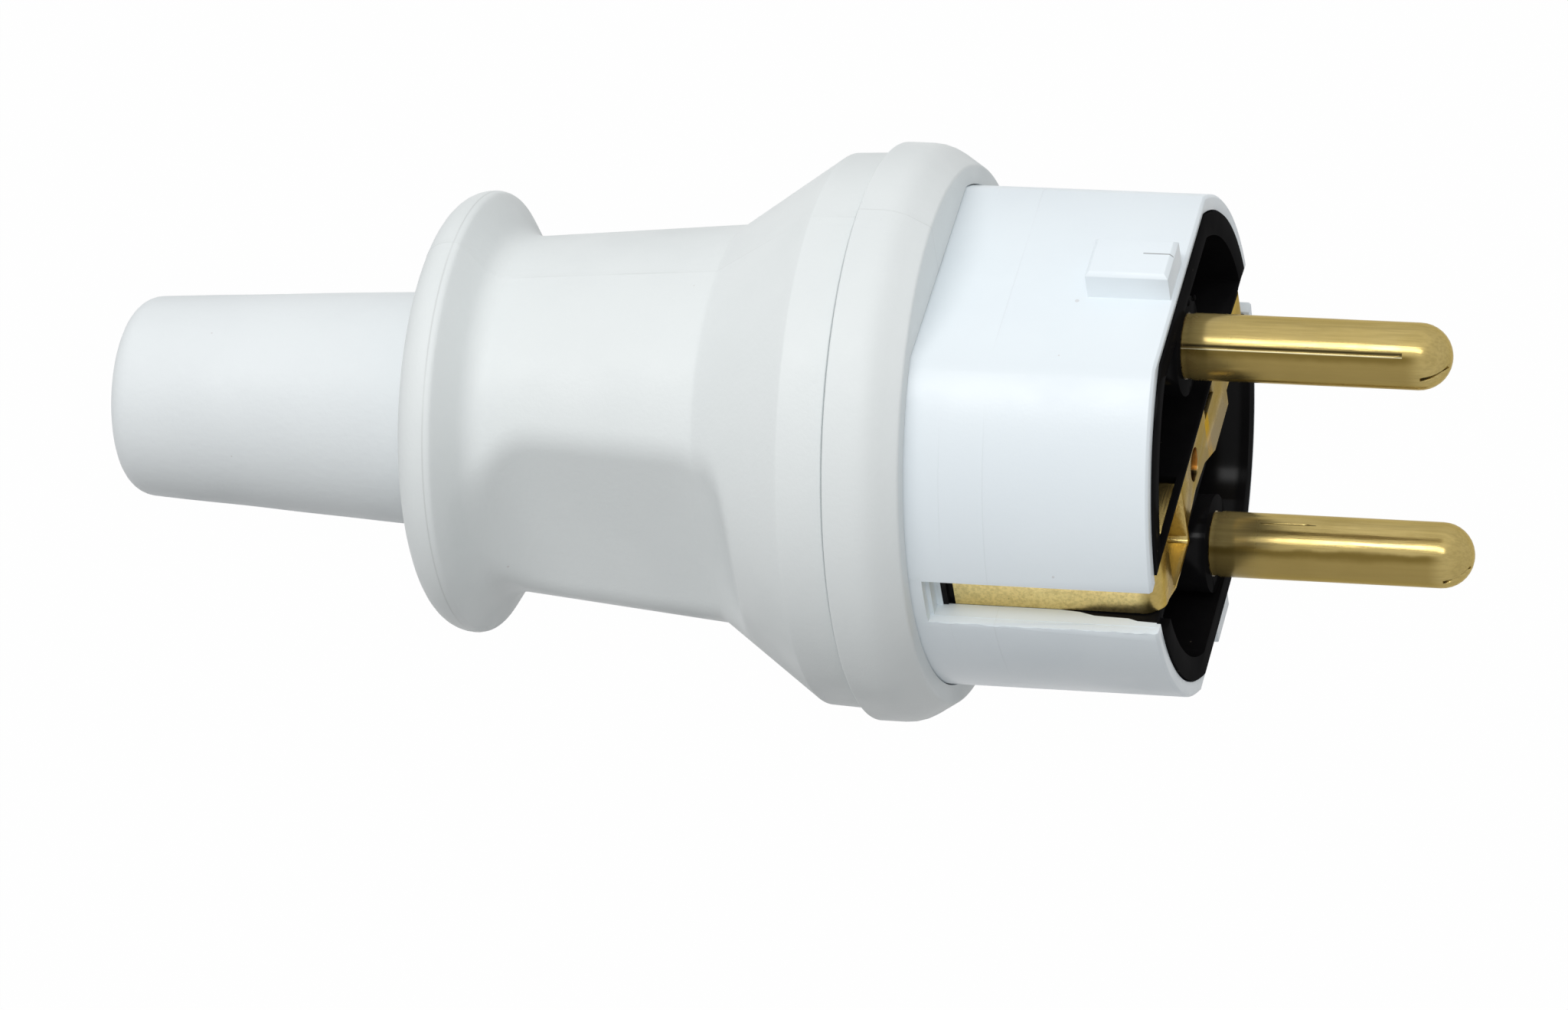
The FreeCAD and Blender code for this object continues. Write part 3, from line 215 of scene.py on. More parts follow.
def addMath(tree, operation, first, second=0.0, third=None, clamp=False):
    values = {0: first, 1: second}
    if third is not None:
        values[2] = third
    return addNode(tree, "ShaderNodeMath", values, operation=operation, use_clamp=clamp).outputs[0]


def addRange(tree, value, low, high, toLow=0.0, toHigh=1.0):
    limits = {"Value": value, "From Min": low, "From Max": high, "To Min": toLow, "To Max": toHigh}
    return addNode(tree, "ShaderNodeMapRange", limits, interpolation_type="SMOOTHSTEP").outputs["Result"]


def addPlace(tree):
    return addNode(tree, "ShaderNodeTexCoord").outputs["Object"]


def addAxes(tree, vector):
    return addNode(tree, "ShaderNodeSeparateXYZ", {0: vector})


def makeMottle():
    # Two tones that drift into each other over the surface
    group, start, end = newGroup("mottle", [("Tone", "NodeSocketColor", (1, 1, 1, 1)),
                                            ("Shade", "NodeSocketColor", (0.9, 0.9, 0.9, 1)),
                                            ("Scale", "NodeSocketFloat", 60.0),
                                            ("Amount", "NodeSocketFloat", 0.5)],
                                 [("Color", "NodeSocketColor"), ("Mask", "NodeSocketFloat")])
    drift = addNode(group, "ShaderNodeTexNoise", {"Vector": addPlace(group), "Scale": start.outputs["Scale"],
                                                  "Detail": 4.0, "Roughness": 0.6})
    mask = addRange(group, drift.outputs["Fac"], 0.3, 0.7)
    share = addMath(group, "MULTIPLY", mask, start.outputs["Amount"], clamp=True)
    mixed = addNode(group, "ShaderNodeMix", {0: share, 6: start.outputs["Tone"], 7: start.outputs["Shade"]},
                    data_type="RGBA")
    group.links.new(mixed.outputs[2], end.inputs["Color"])
    group.links.new(mask, end.inputs["Mask"])
    return group


def makeGrain():
    # Fine skin of a moulding or a drawn metal, stretched along one axis where asked
    group, start, end = newGroup("grain", [("Scale", "NodeSocketFloat", 3000.0),
                                           ("Stretch", "NodeSocketVector", (1, 1, 1))],
                                 [("Height", "NodeSocketFloat")])
    turned = addNode(group, "ShaderNodeVectorMath", {0: addPlace(group), 1: start.outputs["Stretch"]},
                     operation="MULTIPLY")
    fine = addNode(group, "ShaderNodeTexNoise", {"Vector": turned.outputs[0], "Scale": start.outputs["Scale"],
                                                 "Detail": 2.0, "Roughness": 0.55})
    group.links.new(fine.outputs["Fac"], end.inputs["Height"])
    return group


def makeSpecks():
    # Scattered small dots of unequal size
    group, start, end = newGroup("specks", [("Scale", "NodeSocketFloat", 500.0),
                                            ("Size", "NodeSocketFloat", 0.1),
                                            ("Share", "NodeSocketFloat", 0.3)],
                                 [("Mask", "NodeSocketFloat")])
    cells = addNode(group, "ShaderNodeTexVoronoi",
                    {"Vector": addPlace(group), "Scale": start.outputs["Scale"]}, feature="F1")
    chosen = addNode(group, "ShaderNodeSeparateColor", {0: cells.outputs["Color"]})
    keep = addMath(group, "LESS_THAN", chosen.outputs[0], start.outputs["Share"])
    size = addMath(group, "MULTIPLY", start.outputs["Size"], addMath(group, "ADD", chosen.outputs[1], 0.25))
    dot = addMath(group, "LESS_THAN", cells.outputs["Distance"], size)
    group.links.new(addMath(group, "MULTIPLY", keep, dot), end.inputs["Mask"])
    return group


def makeLineMark():
    # Thin line where a coordinate passes a value, broken up along its length
    group, start, end = newGroup("lineMark", [("Coordinate", "NodeSocketFloat", 0.0),
                                              ("Place", "NodeSocketFloat", 0.0),
                                              ("Half Width", "NodeSocketFloat", 0.00005),
                                              ("Breaks", "NodeSocketFloat", 0.3)],
                                 [("Mask", "NodeSocketFloat")])
    away = addMath(group, "SUBTRACT", start.outputs["Coordinate"], start.outputs["Place"])
    share = addMath(group, "DIVIDE", addMath(group, "ABSOLUTE", away), start.outputs["Half Width"])
    line = addMath(group, "SUBTRACT", 1.0, share, clamp=True)
    gaps = addNode(group, "ShaderNodeTexNoise", {"Vector": addPlace(group), "Scale": 90.0, "Detail": 1.0})
    breaks = start.outputs["Breaks"]
    shown = addRange(group, gaps.outputs["Fac"], breaks, addMath(group, "ADD", breaks, 0.25))
    group.links.new(addMath(group, "MULTIPLY", line, shown), end.inputs["Mask"])
    return group


def makeZone():
    # 1 inside a box with soft sides, 0 outside
    group, start, end = newGroup("zone", [("Low", "NodeSocketVector", (0, 0, 0)),
                                          ("High", "NodeSocketVector", (0, 0, 0)),
                                          ("Soft", "NodeSocketFloat", 0.0001)],
                                 [("Mask", "NodeSocketFloat")])
    place = addPlace(group)
    inside = 1.0
    for corner, sign in (("Low", 1), ("High", -1)):
        away = addNode(group, "ShaderNodeVectorMath", {0: place, 1: start.outputs[corner]},
                       operation="SUBTRACT")
        for axis in addAxes(group, away.outputs[0]).outputs:
            depth = addMath(group, "DIVIDE", addMath(group, "MULTIPLY", axis, sign), start.outputs["Soft"])
            inside = addMath(group, "MULTIPLY", inside, addMath(group, "ADD", depth, 0.5, clamp=True))
    group.links.new(inside, end.inputs["Mask"])
    return group


effects = {"mottle": makeMottle(), "grain": makeGrain(), "specks": makeSpecks(), "lineMark": makeLineMark(),
           "zone": makeZone()}


def addEffect(tree, name, values):
    return addNode(tree, "ShaderNodeGroup", values, node_tree=effects[name])


def addMix(tree, share, first, second):
    return addNode(tree, "ShaderNodeMix", {0: share, 6: first, 7: second}, data_type="RGBA").outputs[2]


def addZones(tree, colour, zones):
    # Each zone is a low corner, a high corner, softness, all in mm, a colour and its share
    for low, high, soft, paint, share in zones:
        zone = addEffect(tree, "zone", {"Low": [value * mm for value in low],
                                        "High": [value * mm for value in high], "Soft": soft * mm})
        colour = addMix(tree, addMath(tree, "MULTIPLY", zone.outputs[0], share), colour, (*paint, 1))
    return colour


def newMaterial(name):
    made = bpy.data.materials.new(name)
    made.use_nodes = True
    return made, made.node_tree, made.node_tree.nodes["Principled BSDF"]


def feed(tree, shader, colour, roughness, height, strength, distance):
    tree.links.new(colour, shader.inputs["Base Color"])
    tree.links.new(roughness, shader.inputs["Roughness"])
    bump = addNode(tree, "ShaderNodeBump", {"Height": height, "Strength": strength, "Distance": distance})
    tree.links.new(bump.outputs[0], shader.inputs["Normal"])


# white mouldings

# lines: axis, place, half width, how broken and strength
whites = {
    "grip": {"tone": (0.775, 0.812, 0.815), "shade": (0.74, 0.779, 0.783), "roughness": (0.42, 0.56),
             "grain": 2600.0, "lift": 0.00003, "gloss": 0.35,
             "lines": [("Y", 0.0, 0.00009, 0.34, 0.16), ("X", -0.05375, 0.00008, 0.30, 0.22)], "zones": []},
    "sleeve": {"tone": (0.79, 0.83, 0.846), "shade": (0.755, 0.795, 0.812), "roughness": (0.46, 0.6),
               "grain": 1800.0, "lift": 0.00004, "gloss": 0.3, "lines": [], "zones": []},
    "shell": {"tone": (0.825, 0.893, 0.935), "shade": (0.795, 0.865, 0.912), "roughness": (0.28, 0.4),
              "grain": 3600.0, "lift": 0.000012, "gloss": 0.4,
              "lines": [("X", -0.0119, 0.00007, 0.3, 0.08), ("X", -0.0151, 0.00006, 0.45, 0.05)],
              # short parting mark on top of the lug
              "zones": [((-2.5, 0.33, 17.4), (-0.35, 0.42, 18.0), 0.03, (0.13, 0.12, 0.11), 0.8)]},
    "clamp": {"tone": (0.72, 0.72, 0.70), "shade": (0.66, 0.66, 0.64), "roughness": (0.42, 0.55),
              "grain": 2600.0, "lift": 0.00003, "gloss": 0.3, "lines": [], "zones": []},
}


whiteMarks = {
    "mottle": (95.0, 0.55),  # scale and amount
    "specks": (420.0, 0.055, 0.12, 0.3),  # scale, size, how many and strength
    "speckTone": (0.42, 0.36, 0.33, 1),
    "lineTone": (0.33, 0.33, 0.32, 1),
    "lineLift": 1.5,  # height of a parting line, in grains
}


def whiteMoulding(name, settings):
    made, tree, shader = newMaterial(name)
    shader.inputs["Specular IOR Level"].default_value = settings["gloss"]
    scale, amount = whiteMarks["mottle"]
    tone = addEffect(tree, "mottle", {"Tone": (*settings["tone"], 1), "Shade": (*settings["shade"], 1),
                                      "Scale": scale, "Amount": amount})
    grain = addEffect(tree, "grain", {"Scale": settings["grain"]})
    scale, size, share, strength = whiteMarks["specks"]
    specks = addEffect(tree, "specks", {"Scale": scale, "Size": size, "Share": share})
    colour = addMix(tree, addMath(tree, "MULTIPLY", specks.outputs[0], strength), tone.outputs["Color"],
                    whiteMarks["speckTone"])
    axes = addAxes(tree, addPlace(tree))
    height = grain.outputs["Height"]
    for axis, at, halfWidth, breaks, strength in settings["lines"]:
        line = addEffect(tree, "lineMark", {"Coordinate": axes.outputs[axis], "Place": at,
                                            "Half Width": halfWidth, "Breaks": breaks})
        share = addMath(tree, "MULTIPLY", line.outputs[0], strength)
        colour = addMix(tree, share, colour, whiteMarks["lineTone"])
        lift = addMath(tree, "MULTIPLY", line.outputs[0], whiteMarks["lineLift"])
        height = addMath(tree, "ADD", height, lift)
    colour = addZones(tree, colour, settings["zones"])
    roughness = addRange(tree, tone.outputs["Mask"], 0.0, 1.0, *settings["roughness"])
    feed(tree, shader, colour, roughness, height, 0.55, settings["lift"])
    return made


# black carrier

black = {
    "tone": (0.006, 0.006, 0.0065, 1), "shade": (0.013, 0.0125, 0.013, 1), "mottle": (160.0, 0.7),
    "dust": (900.0, 0.09, 0.10, 0.15),  # scale, size, how many and strength
    "dustTone": (0.30, 0.27, 0.22, 1),
    "grain": 1500.0, "lift": 0.00003, "roughness": (0.16, 0.34),
    "coatRoughness": 0.12,
    "coat": (-0.0008, -0.0003, 0.13, 0.02),  # from this depth to that, from the walls' coat to the front's
}


def blackMoulding(name, settings):
    made, tree, shader = newMaterial(name)
    shader.inputs["Specular IOR Level"].default_value = 0.0
    shader.inputs["Coat Roughness"].default_value = settings["coatRoughness"]
    scale, amount = settings["mottle"]
    tone = addEffect(tree, "mottle", {"Tone": settings["tone"], "Shade": settings["shade"], "Scale": scale,
                                      "Amount": amount})
    scale, size, share, strength = settings["dust"]
    dust = addEffect(tree, "specks", {"Scale": scale, "Size": size, "Share": share})
    colour = addMix(tree, addMath(tree, "MULTIPLY", dust.outputs[0], strength), tone.outputs["Color"],
                    settings["dustTone"])
    grain = addEffect(tree, "grain", {"Scale": settings["grain"]})
    # the front faces are duller than the walls of the pockets
    axes = addAxes(tree, addPlace(tree))
    tree.links.new(addRange(tree, axes.outputs["X"], *settings["coat"]), shader.inputs["Coat Weight"])
    roughness = addRange(tree, tone.outputs["Mask"], 0.0, 1.0, *settings["roughness"])
    feed(tree, shader, colour, roughness, grain.outputs["Height"], 0.4, settings["lift"])
    return made


# brass and steel

pinHeight = 9.5  # pin axes above and below the middle
pinSeam = 47.5  # seam of the line pin, degrees from +Z towards -Y
metals = {
    "pinBrass": {
        "tone": (0.47, 0.365, 0.145), "shade": (0.39, 0.295, 0.10), "roughness": (0.17, 0.25), "metal": 0.84,
        "stretch": (0.05, 1.0, 1.0), "grain": 5200.0, "lift": 0.000016, "specks": 0.45, "isPin": True,
        "tint": (0.8, 0.7, 0.45), "zones": []},
    "strapBrass": {
        "tone": (0.50, 0.38, 0.145), "shade": (0.42, 0.31, 0.10), "roughness": (0.2, 0.36), "metal": 0.95,
        "stretch": (1.0, 0.08, 1.0), "grain": 4200.0, "lift": 0.00002, "specks": 0.5, "isPin": False,
        "tint": (0.62, 0.52, 0.32),
        "zones": [
            ((-20.0, -17.0, -4.0), (-1.4, -15.0, 4.0), 0.8, (0.98, 0.78, 0.35), 0.9),  # near leg, painted lighter: painted light
            ((-0.15, -7.0, -4.0), (1.0, 8.4, 4.0), 0.5, (0.25, 0.205, 0.125), 0.95),  # face painted darker and greyer: painted dark reflection
            ((-0.3, 1.15, -4.0), (1.0, 2.3, 1.4), 0.12, (0.50, 0.31, 0.045), 0.9),  # crease
            ((-2.3, -2.3, -0.5), (-0.06, -1.6, 2.1), 0.08, (0.34, 0.12, 0.014), 0.95),  # painted light on one wall of the hole
            ((-2.3, -4.2, -0.5), (-0.06, -2.3, 2.1), 0.08, (0.012, 0.008, 0.004), 0.97)]},  # painted shade on its other wall
    "plated": {
        "tone": (0.60, 0.60, 0.59), "shade": (0.46, 0.45, 0.43), "roughness": (0.22, 0.4), "metal": 1.0,
        "stretch": (1.0, 1.0, 1.0), "grain": 3200.0, "lift": 0.00002, "specks": 0.2, "isPin": False,
        "tint": (1.0, 1.0, 1.0), "zones": []},
}
metalMarks = {
    "mottle": (210.0, 0.6), "specks": (620.0, 0.10, 0.14),  # as for the white mouldings
    "speckTone": (0.10, 0.05, 0.012, 1),
    "streaks": (0.35, 0.7, 0.0, 0.3), "streakShade": 0.6,
}
pinMarks = {
    "tilt": (0.742, 0.668),  # how much of Z and of Y counts for the height of the painted shade
    "cloud": 260.0, "cloudRise": 0.00012,
    "under": (0.0001, -0.0004, 0.0, 0.85), "underShadeTone": (0.27, 0.195, 0.06, 1),
    "edge": [(0.0000, -0.0003), (-0.0010, -0.0004)], "shadeLineShare": 0.7, "shadeLineTone": (0.13, 0.085, 0.012, 1),
    "dome": (0.0158, 0.0174, 1.0, 0.0),  # where the painted shade ends
    "seamEnd": 0.0158, "seamSide": 0.001,
    "seamShadeAndHighlight": [  # place, half width, how broken, colour: painted shade in the seam and a painted highlight on the lip under it
        (0.0, 0.0002, 0.02, (0.02, 0.012, 0.002, 1)), (-0.00022, 0.00006, 0.2, (0.95, 0.86, 0.56, 1))],
    "bloom": 700.0, "bloomEnd": 0.0018, "bloomShare": 0.4, "bloomTone": (0.16, 0.08, 0.02, 1),
    "bloomRoughness": 0.2,
    "litFootMetal": (0.0, 0.0045, 0.2),  # from, to and metallic share of the less metallic foot, which shows a lit tan: painted light
}


def addPaintedPinShade(tree, place, axes, colour, settings):
    # painted shade: the lower side of each pin is darker, darkest in a line along its edge just under the
    # highlight
    middle = addMath(tree, "MULTIPLY", addMath(tree, "SIGN", axes.outputs["Z"]), pinHeight * mm)
    level = addMath(tree, "SUBTRACT", axes.outputs["Z"], middle)
    ofZ, ofY = settings["tilt"]
    level = addMath(tree, "ADD", addMath(tree, "MULTIPLY", level, ofZ),
                    addMath(tree, "MULTIPLY", axes.outputs["Y"], ofY))
    cloud = addNode(tree, "ShaderNodeTexNoise", {"Vector": place, "Scale": settings["cloud"], "Detail": 4.0})
    rise = settings["cloudRise"]
    level = addMath(tree, "ADD", level, addRange(tree, cloud.outputs["Fac"], 0.3, 0.7, -rise, rise))
    dome = addRange(tree, axes.outputs["X"], *settings["dome"])
    lower = addMath(tree, "MULTIPLY", addRange(tree, level, *settings["under"]), dome)
    colour = addMix(tree, lower, colour, settings["underShadeTone"])
    edge = addMath(tree, "MULTIPLY", *[addRange(tree, level, *limits) for limits in settings["edge"]])
    edge = addMath(tree, "MULTIPLY", addMath(tree, "MULTIPLY", edge, dome), settings["shadeLineShare"])
    return addMix(tree, edge, colour, settings["shadeLineTone"])


def addSeamShadeAndHighlight(tree, axes, colour, settings):
    # closed seam along the line pin, with painted shade in it and a painted highlight on its lip
    turn = math.radians(pinSeam)
    rise = addMath(tree, "SUBTRACT", axes.outputs["Z"], pinHeight * mm)
    across = addMath(tree, "ADD", addMath(tree, "MULTIPLY", axes.outputs["Y"], math.cos(turn)),
                     addMath(tree, "MULTIPLY", rise, math.sin(turn)))
    outward = addMath(tree, "SUBTRACT", addMath(tree, "MULTIPLY", rise, math.cos(turn)),
                      addMath(tree, "MULTIPLY", axes.outputs["Y"], math.sin(turn)))
    facing = addMath(tree, "MULTIPLY", addMath(tree, "GREATER_THAN", outward, settings["seamSide"]),
                     addMath(tree, "LESS_THAN", axes.outputs["X"], settings["seamEnd"]))
    for at, halfWidth, breaks, paint in settings["seamShadeAndHighlight"]:
        line = addEffect(tree, "lineMark", {"Coordinate": across, "Place": at, "Half Width": halfWidth,
                                            "Breaks": breaks})
        colour = addMix(tree, addMath(tree, "MULTIPLY", line.outputs[0], facing), colour, paint)
    return colour


def metalFinish(name, settings):
    made, tree, shader = newMaterial(name)
    shader.inputs["Metallic"].default_value = settings["metal"]
    shader.inputs["Specular Tint"].default_value = (*settings["tint"], 1)
    scale, amount = metalMarks["mottle"]
    tone = addEffect(tree, "mottle", {"Tone": (*settings["tone"], 1), "Shade": (*settings["shade"], 1),
                                      "Scale": scale, "Amount": amount})
    grain = addEffect(tree, "grain", {"Scale": settings["grain"], "Stretch": settings["stretch"]})
    scale, size, share = metalMarks["specks"]
    specks = addEffect(tree, "specks", {"Scale": scale, "Size": size, "Share": share})
    colour = addZones(tree, tone.outputs["Color"], settings["zones"])
    streaks = addRange(tree, grain.outputs["Height"], *metalMarks["streaks"])
    dark = [value * metalMarks["streakShade"] for value in settings["shade"]]
    colour = addMix(tree, streaks, colour, (*dark, 1))
    place = addPlace(tree)
    axes = addAxes(tree, place)
    roughness = addRange(tree, tone.outputs["Mask"], 0.0, 1.0, *settings["roughness"])
    if settings["isPin"]:
        # painted shade on the lower side of each pin
        colour = addPaintedPinShade(tree, place, axes, colour, pinMarks)
        # painted shade and a painted highlight along the seam
        colour = addSeamShadeAndHighlight(tree, axes, colour, pinMarks)
    colour = addMix(tree, addMath(tree, "MULTIPLY", specks.outputs[0], settings["specks"]), colour,
                    metalMarks["speckTone"])
    if settings["isPin"]:
        # brown bloom near the pin's foot
        cloud = addNode(tree, "ShaderNodeTexNoise",
                        {"Vector": place, "Scale": pinMarks["bloom"], "Detail": 5.0})
        fade = addRange(tree, axes.outputs["X"], 0.0, pinMarks["bloomEnd"], 1.0, 0.0)
        stain = addMath(tree, "MULTIPLY", addRange(tree, cloud.outputs["Fac"], 0.45, 0.75), fade)
        colour = addMix(tree, addMath(tree, "MULTIPLY", stain, pinMarks["bloomShare"]), colour,
                        pinMarks["bloomTone"])
        roughness = addMath(tree, "ADD", roughness,
                            addMath(tree, "MULTIPLY", stain, pinMarks["bloomRoughness"]))
        # painted light: the foot is made less metallic, so that it shows a lit tan where the black pocket
        # would be mirrored
        start, end, share = pinMarks["litFootMetal"]
        tree.links.new(addRange(tree, axes.outputs["X"], start, end, share, settings["metal"]),
                       shader.inputs["Metallic"])
    feed(tree, shader, colour, roughness, grain.outputs["Height"], 0.5, settings["lift"])
    return made


finishes = {
    "grip_white": whiteMoulding("gripWhite", whites["grip"]),
    "sleeve_white": whiteMoulding("sleeveWhite", whites["sleeve"]),
    "shell_white": whiteMoulding("shellWhite", whites["shell"]),
    "carrier_black": blackMoulding("carrierBlack", black),
    "pin_brass": metalFinish("pinBrass", metals["pinBrass"]),
    "strap_brass": metalFinish("strapBrass", metals["strapBrass"]),
    "steel": metalFinish("plated", metals["plated"]),
    "clamp_plastic": whiteMoulding("clampWhite", whites["clamp"]),
}
print("materials made:", len(finishes))


# making pieces

weld = 0.002 * mm  # points nearer than this become one


def mergedCopy(node, name):
    source = frame["nodes"][node]
    piece = bpy.data.objects.new(name, source.data.copy())
    bpy.context.scene.collection.objects.link(piece)
    mesh = bmesh.new()
    mesh.from_mesh(piece.data)
    bmesh.ops.remove_doubles(mesh, verts=mesh.verts, dist=weld)
    mesh.to_mesh(piece.data)
    mesh.free()
    return piece


def finishPiece(piece, node, slot, angle=30):
    makeActive(piece)
    bpy.ops.object.shade_smooth_by_angle(angle=math.radians(angle))
    piece.data.materials.clear()
    piece.data.materials.append(finishes[slot])
    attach(piece, "root")
    if node:
        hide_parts(node)


def applyModifier(piece, kind, name, **settings):
    makeActive(piece)
    modifier = piece.modifiers.new(name, kind)
    for key, value in settings.items():
        setattr(modifier, key, value)
    bpy.ops.object.modifier_apply(modifier=modifier.name)


def softEdges(piece, width, angle=35, segments=2):
    # flat triangles become whole faces first, so that the edges bevel evenly
    makeActive(piece)
    bpy.ops.object.mode_set(mode="EDIT")
    bpy.ops.mesh.select_all(action="SELECT")
    bpy.ops.mesh.dissolve_limited(angle_limit=math.radians(0.4))
    bpy.ops.object.mode_set(mode="OBJECT")
    applyModifier(piece, "BEVEL", "softEdge", width=width * mm, segments=segments, limit_method="ANGLE",
                  angle_limit=math.radians(angle), harden_normals=False)


def profileLine(corners, step):
    # Points in mm along (x, radius, rounding) corners, closed, no further apart than the step
    points = []
    count = len(corners)
    for i, corner in enumerate(corners):
        here = Vector(corner[:2])
        rounding = corner[2] if len(corner) > 2 else 0
        if not rounding:
            points.append(here)
            continue
        back = (Vector(corners[i - 1][:2]) - here).normalized()
        ahead = (Vector(corners[(i + 1) % count][:2]) - here).normalized()
        half = back.angle(ahead) / 2
        centre = here + (back + ahead).normalized() * (rounding / math.sin(half))
        start = here + back * (rounding / math.tan(half))
        end = here + ahead * (rounding / math.tan(half))
        turn = (start - centre).angle_signed(end - centre)
        parts = max(2, math.ceil(abs(math.degrees(turn)) / 11))
        for number in range(parts + 1):
            angle = -turn * number / parts
            arm = start - centre
            points.append(centre + Vector((arm.x * math.cos(angle) - arm.y * math.sin(angle),
                                           arm.x * math.sin(angle) + arm.y * math.cos(angle))))
    filled = []
    for i, point in enumerate(points):
        after = points[(i + 1) % len(points)]
        parts = max(1, math.ceil((after - point).length / step))
        filled += [point.lerp(after, number / parts) for number in range(parts)]
    return filled


def spunPiece(name, corners, steps, step=1.2, middle=(0, 0)):
    # A profile extruded point by point and spun about the X axis
    points = profileLine(corners, step)
    clearSelection()
    bpy.ops.mesh.primitive_plane_add(size=0.001)
    piece = bpy.context.active_object
    piece.name = name
    bpy.ops.object.mode_set(mode="EDIT")
    bpy.ops.mesh.select_all(action="SELECT")
    bpy.ops.mesh.merge(type="CENTER")
    bpy.ops.transform.translate(value=(points[0].x * mm, points[0].y * mm, 0))
    for before, after in zip(points, points[1:] + points[:1]):
        move = (after - before) * mm
        bpy.ops.mesh.extrude_vertices_move(TRANSFORM_OT_translate={"value": (move.x, move.y, 0)})
    bpy.ops.mesh.select_all(action="SELECT")
    bpy.ops.mesh.remove_doubles(threshold=0.001 * mm)
    bpy.ops.mesh.select_all(action="SELECT")
    bpy.ops.mesh.spin(steps=steps, angle=2 * math.pi, center=(0, 0, 0), axis=(1, 0, 0))
    bpy.ops.mesh.select_all(action="SELECT")
    bpy.ops.mesh.remove_doubles(threshold=0.002 * mm)
    bpy.ops.mesh.normals_make_consistent(inside=False)
    if middle != (0, 0):
        bpy.ops.mesh.select_all(action="SELECT")
        bpy.ops.transform.translate(value=(0, middle[0] * mm, middle[1] * mm))
    bpy.ops.object.mode_set(mode="OBJECT")
    return piece


def cutBox(name, size, middle, turn=0, pivot=0):
    clearSelection()
    bpy.ops.mesh.primitive_cube_add(size=1)
    box = bpy.context.active_object
    box.name = name
    place = Matrix.Translation((0, 0, pivot * mm)) @ Matrix.Rotation(math.radians(turn), 4, "X")
    place = place @ Matrix.Translation([value * mm for value in middle])
    place = place @ Matrix.Diagonal([value * mm for value in size]).to_4x4()
    box.data.transform(place)
    box.location = (0, 0, 0)
    return box


def cutAway(piece, cutter):
    applyModifier(piece, "BOOLEAN", "cut", operation="DIFFERENCE", solver="EXACT", object=cutter)
    bpy.data.objects.remove(cutter)


def prism(name, outline, low, high):
    # Flat outline in x and y, drawn up along z
    clearSelection()
    bpy.ops.mesh.primitive_plane_add(size=0.001)
    piece = bpy.context.active_object
    piece.name = name
    mesh = bmesh.new()
    face = mesh.faces.new([mesh.verts.new((x * mm, y * mm, low * mm)) for x, y in outline])
    mesh.to_mesh(piece.data)
    mesh.free()
    bpy.ops.object.mode_set(mode="EDIT")
    bpy.ops.mesh.select_all(action="SELECT")
    bpy.ops.mesh.extrude_region_move(TRANSFORM_OT_translate={"value": (0, 0, (high - low) * mm)})
    bpy.ops.mesh.select_all(action="SELECT")
    bpy.ops.mesh.normals_make_consistent(inside=False)
    bpy.ops.object.mode_set(mode="OBJECT")
    return piece


def joinPieces(first, *others):
    clearSelection()
    for item in (first, *others):
        item.select_set(True)
    bpy.context.view_layer.objects.active = first
    bpy.ops.object.join()
    return first


def softLimit(value, limit, width):
    # Holds a value below a limit, with a soft turn of the given half width
    over = value - limit
    if over <= -width:
        return value
    if over >= width:
        return limit
    return value - (over + width) ** 2 / (4 * width)


def heightAt(line, x):
    # Height of a line of points above X
    for before, after in zip(line, line[1:]):
        if before.x <= x <= after.x and after.x > before.x:
            return before.y + (after.y - before.y) * (x - before.x) / (after.x - before.x)
    return None


# grip with its finger pockets

grip = {
    "steps": 320,
    "step": 0.42,
    "outside": [
        (-56.2, 8.8), (-56.2, 16.3, 2.3), (-53.75, 16.3), (-53.3, 16.2, 0.5), (-51.2, 13.0, 2.0),
        (-34.2, 14.6, 0.7), (-26.4, 20.1, 0.35), (-23.05, 20.25, 0.1), (-23.05, 19.85), (-22.8, 19.85),
        (-22.8, 21.04, 0.15), (-19.9, 21.04, 3.2), (-17.6, 19.55, 0.35), (-17.6, 18.2), (-20.6, 18.2),
        (-20.6, 19.0), (-24.1, 19.0), (-24.1, 16.6), (-26.4, 16.6), (-34.06, 11.2), (-53.1, 11.2),
        (-53.1, 8.8)],
    "pocket": [(-52.4, 22.0), (-52.4, 14.9), (-50.9, 10.7, 5.5), (-32.6, 12.42, 5.0), (-29.25, 22.0)],
    "pocketEdge": 0.75,  # softness of the pocket's long edges
    "hollow": 9.2,  # half width of the hollow between the pockets
    "frontFlat": 15.6,  # axis to the flats of the front opening
    "frontOpening": (19.1, -20.65),  # largest radius and rear end of that opening
    "skinFrom": 12.2,  # points beyond this radius lie on the outside
    "hollowSkin": (11.1, -53.2, -33.9),  # least radius, rear and front of the round hollow's wall
    "mouldLine": (0.12, 0.05, 20.8),  # half width, height and largest radius
}


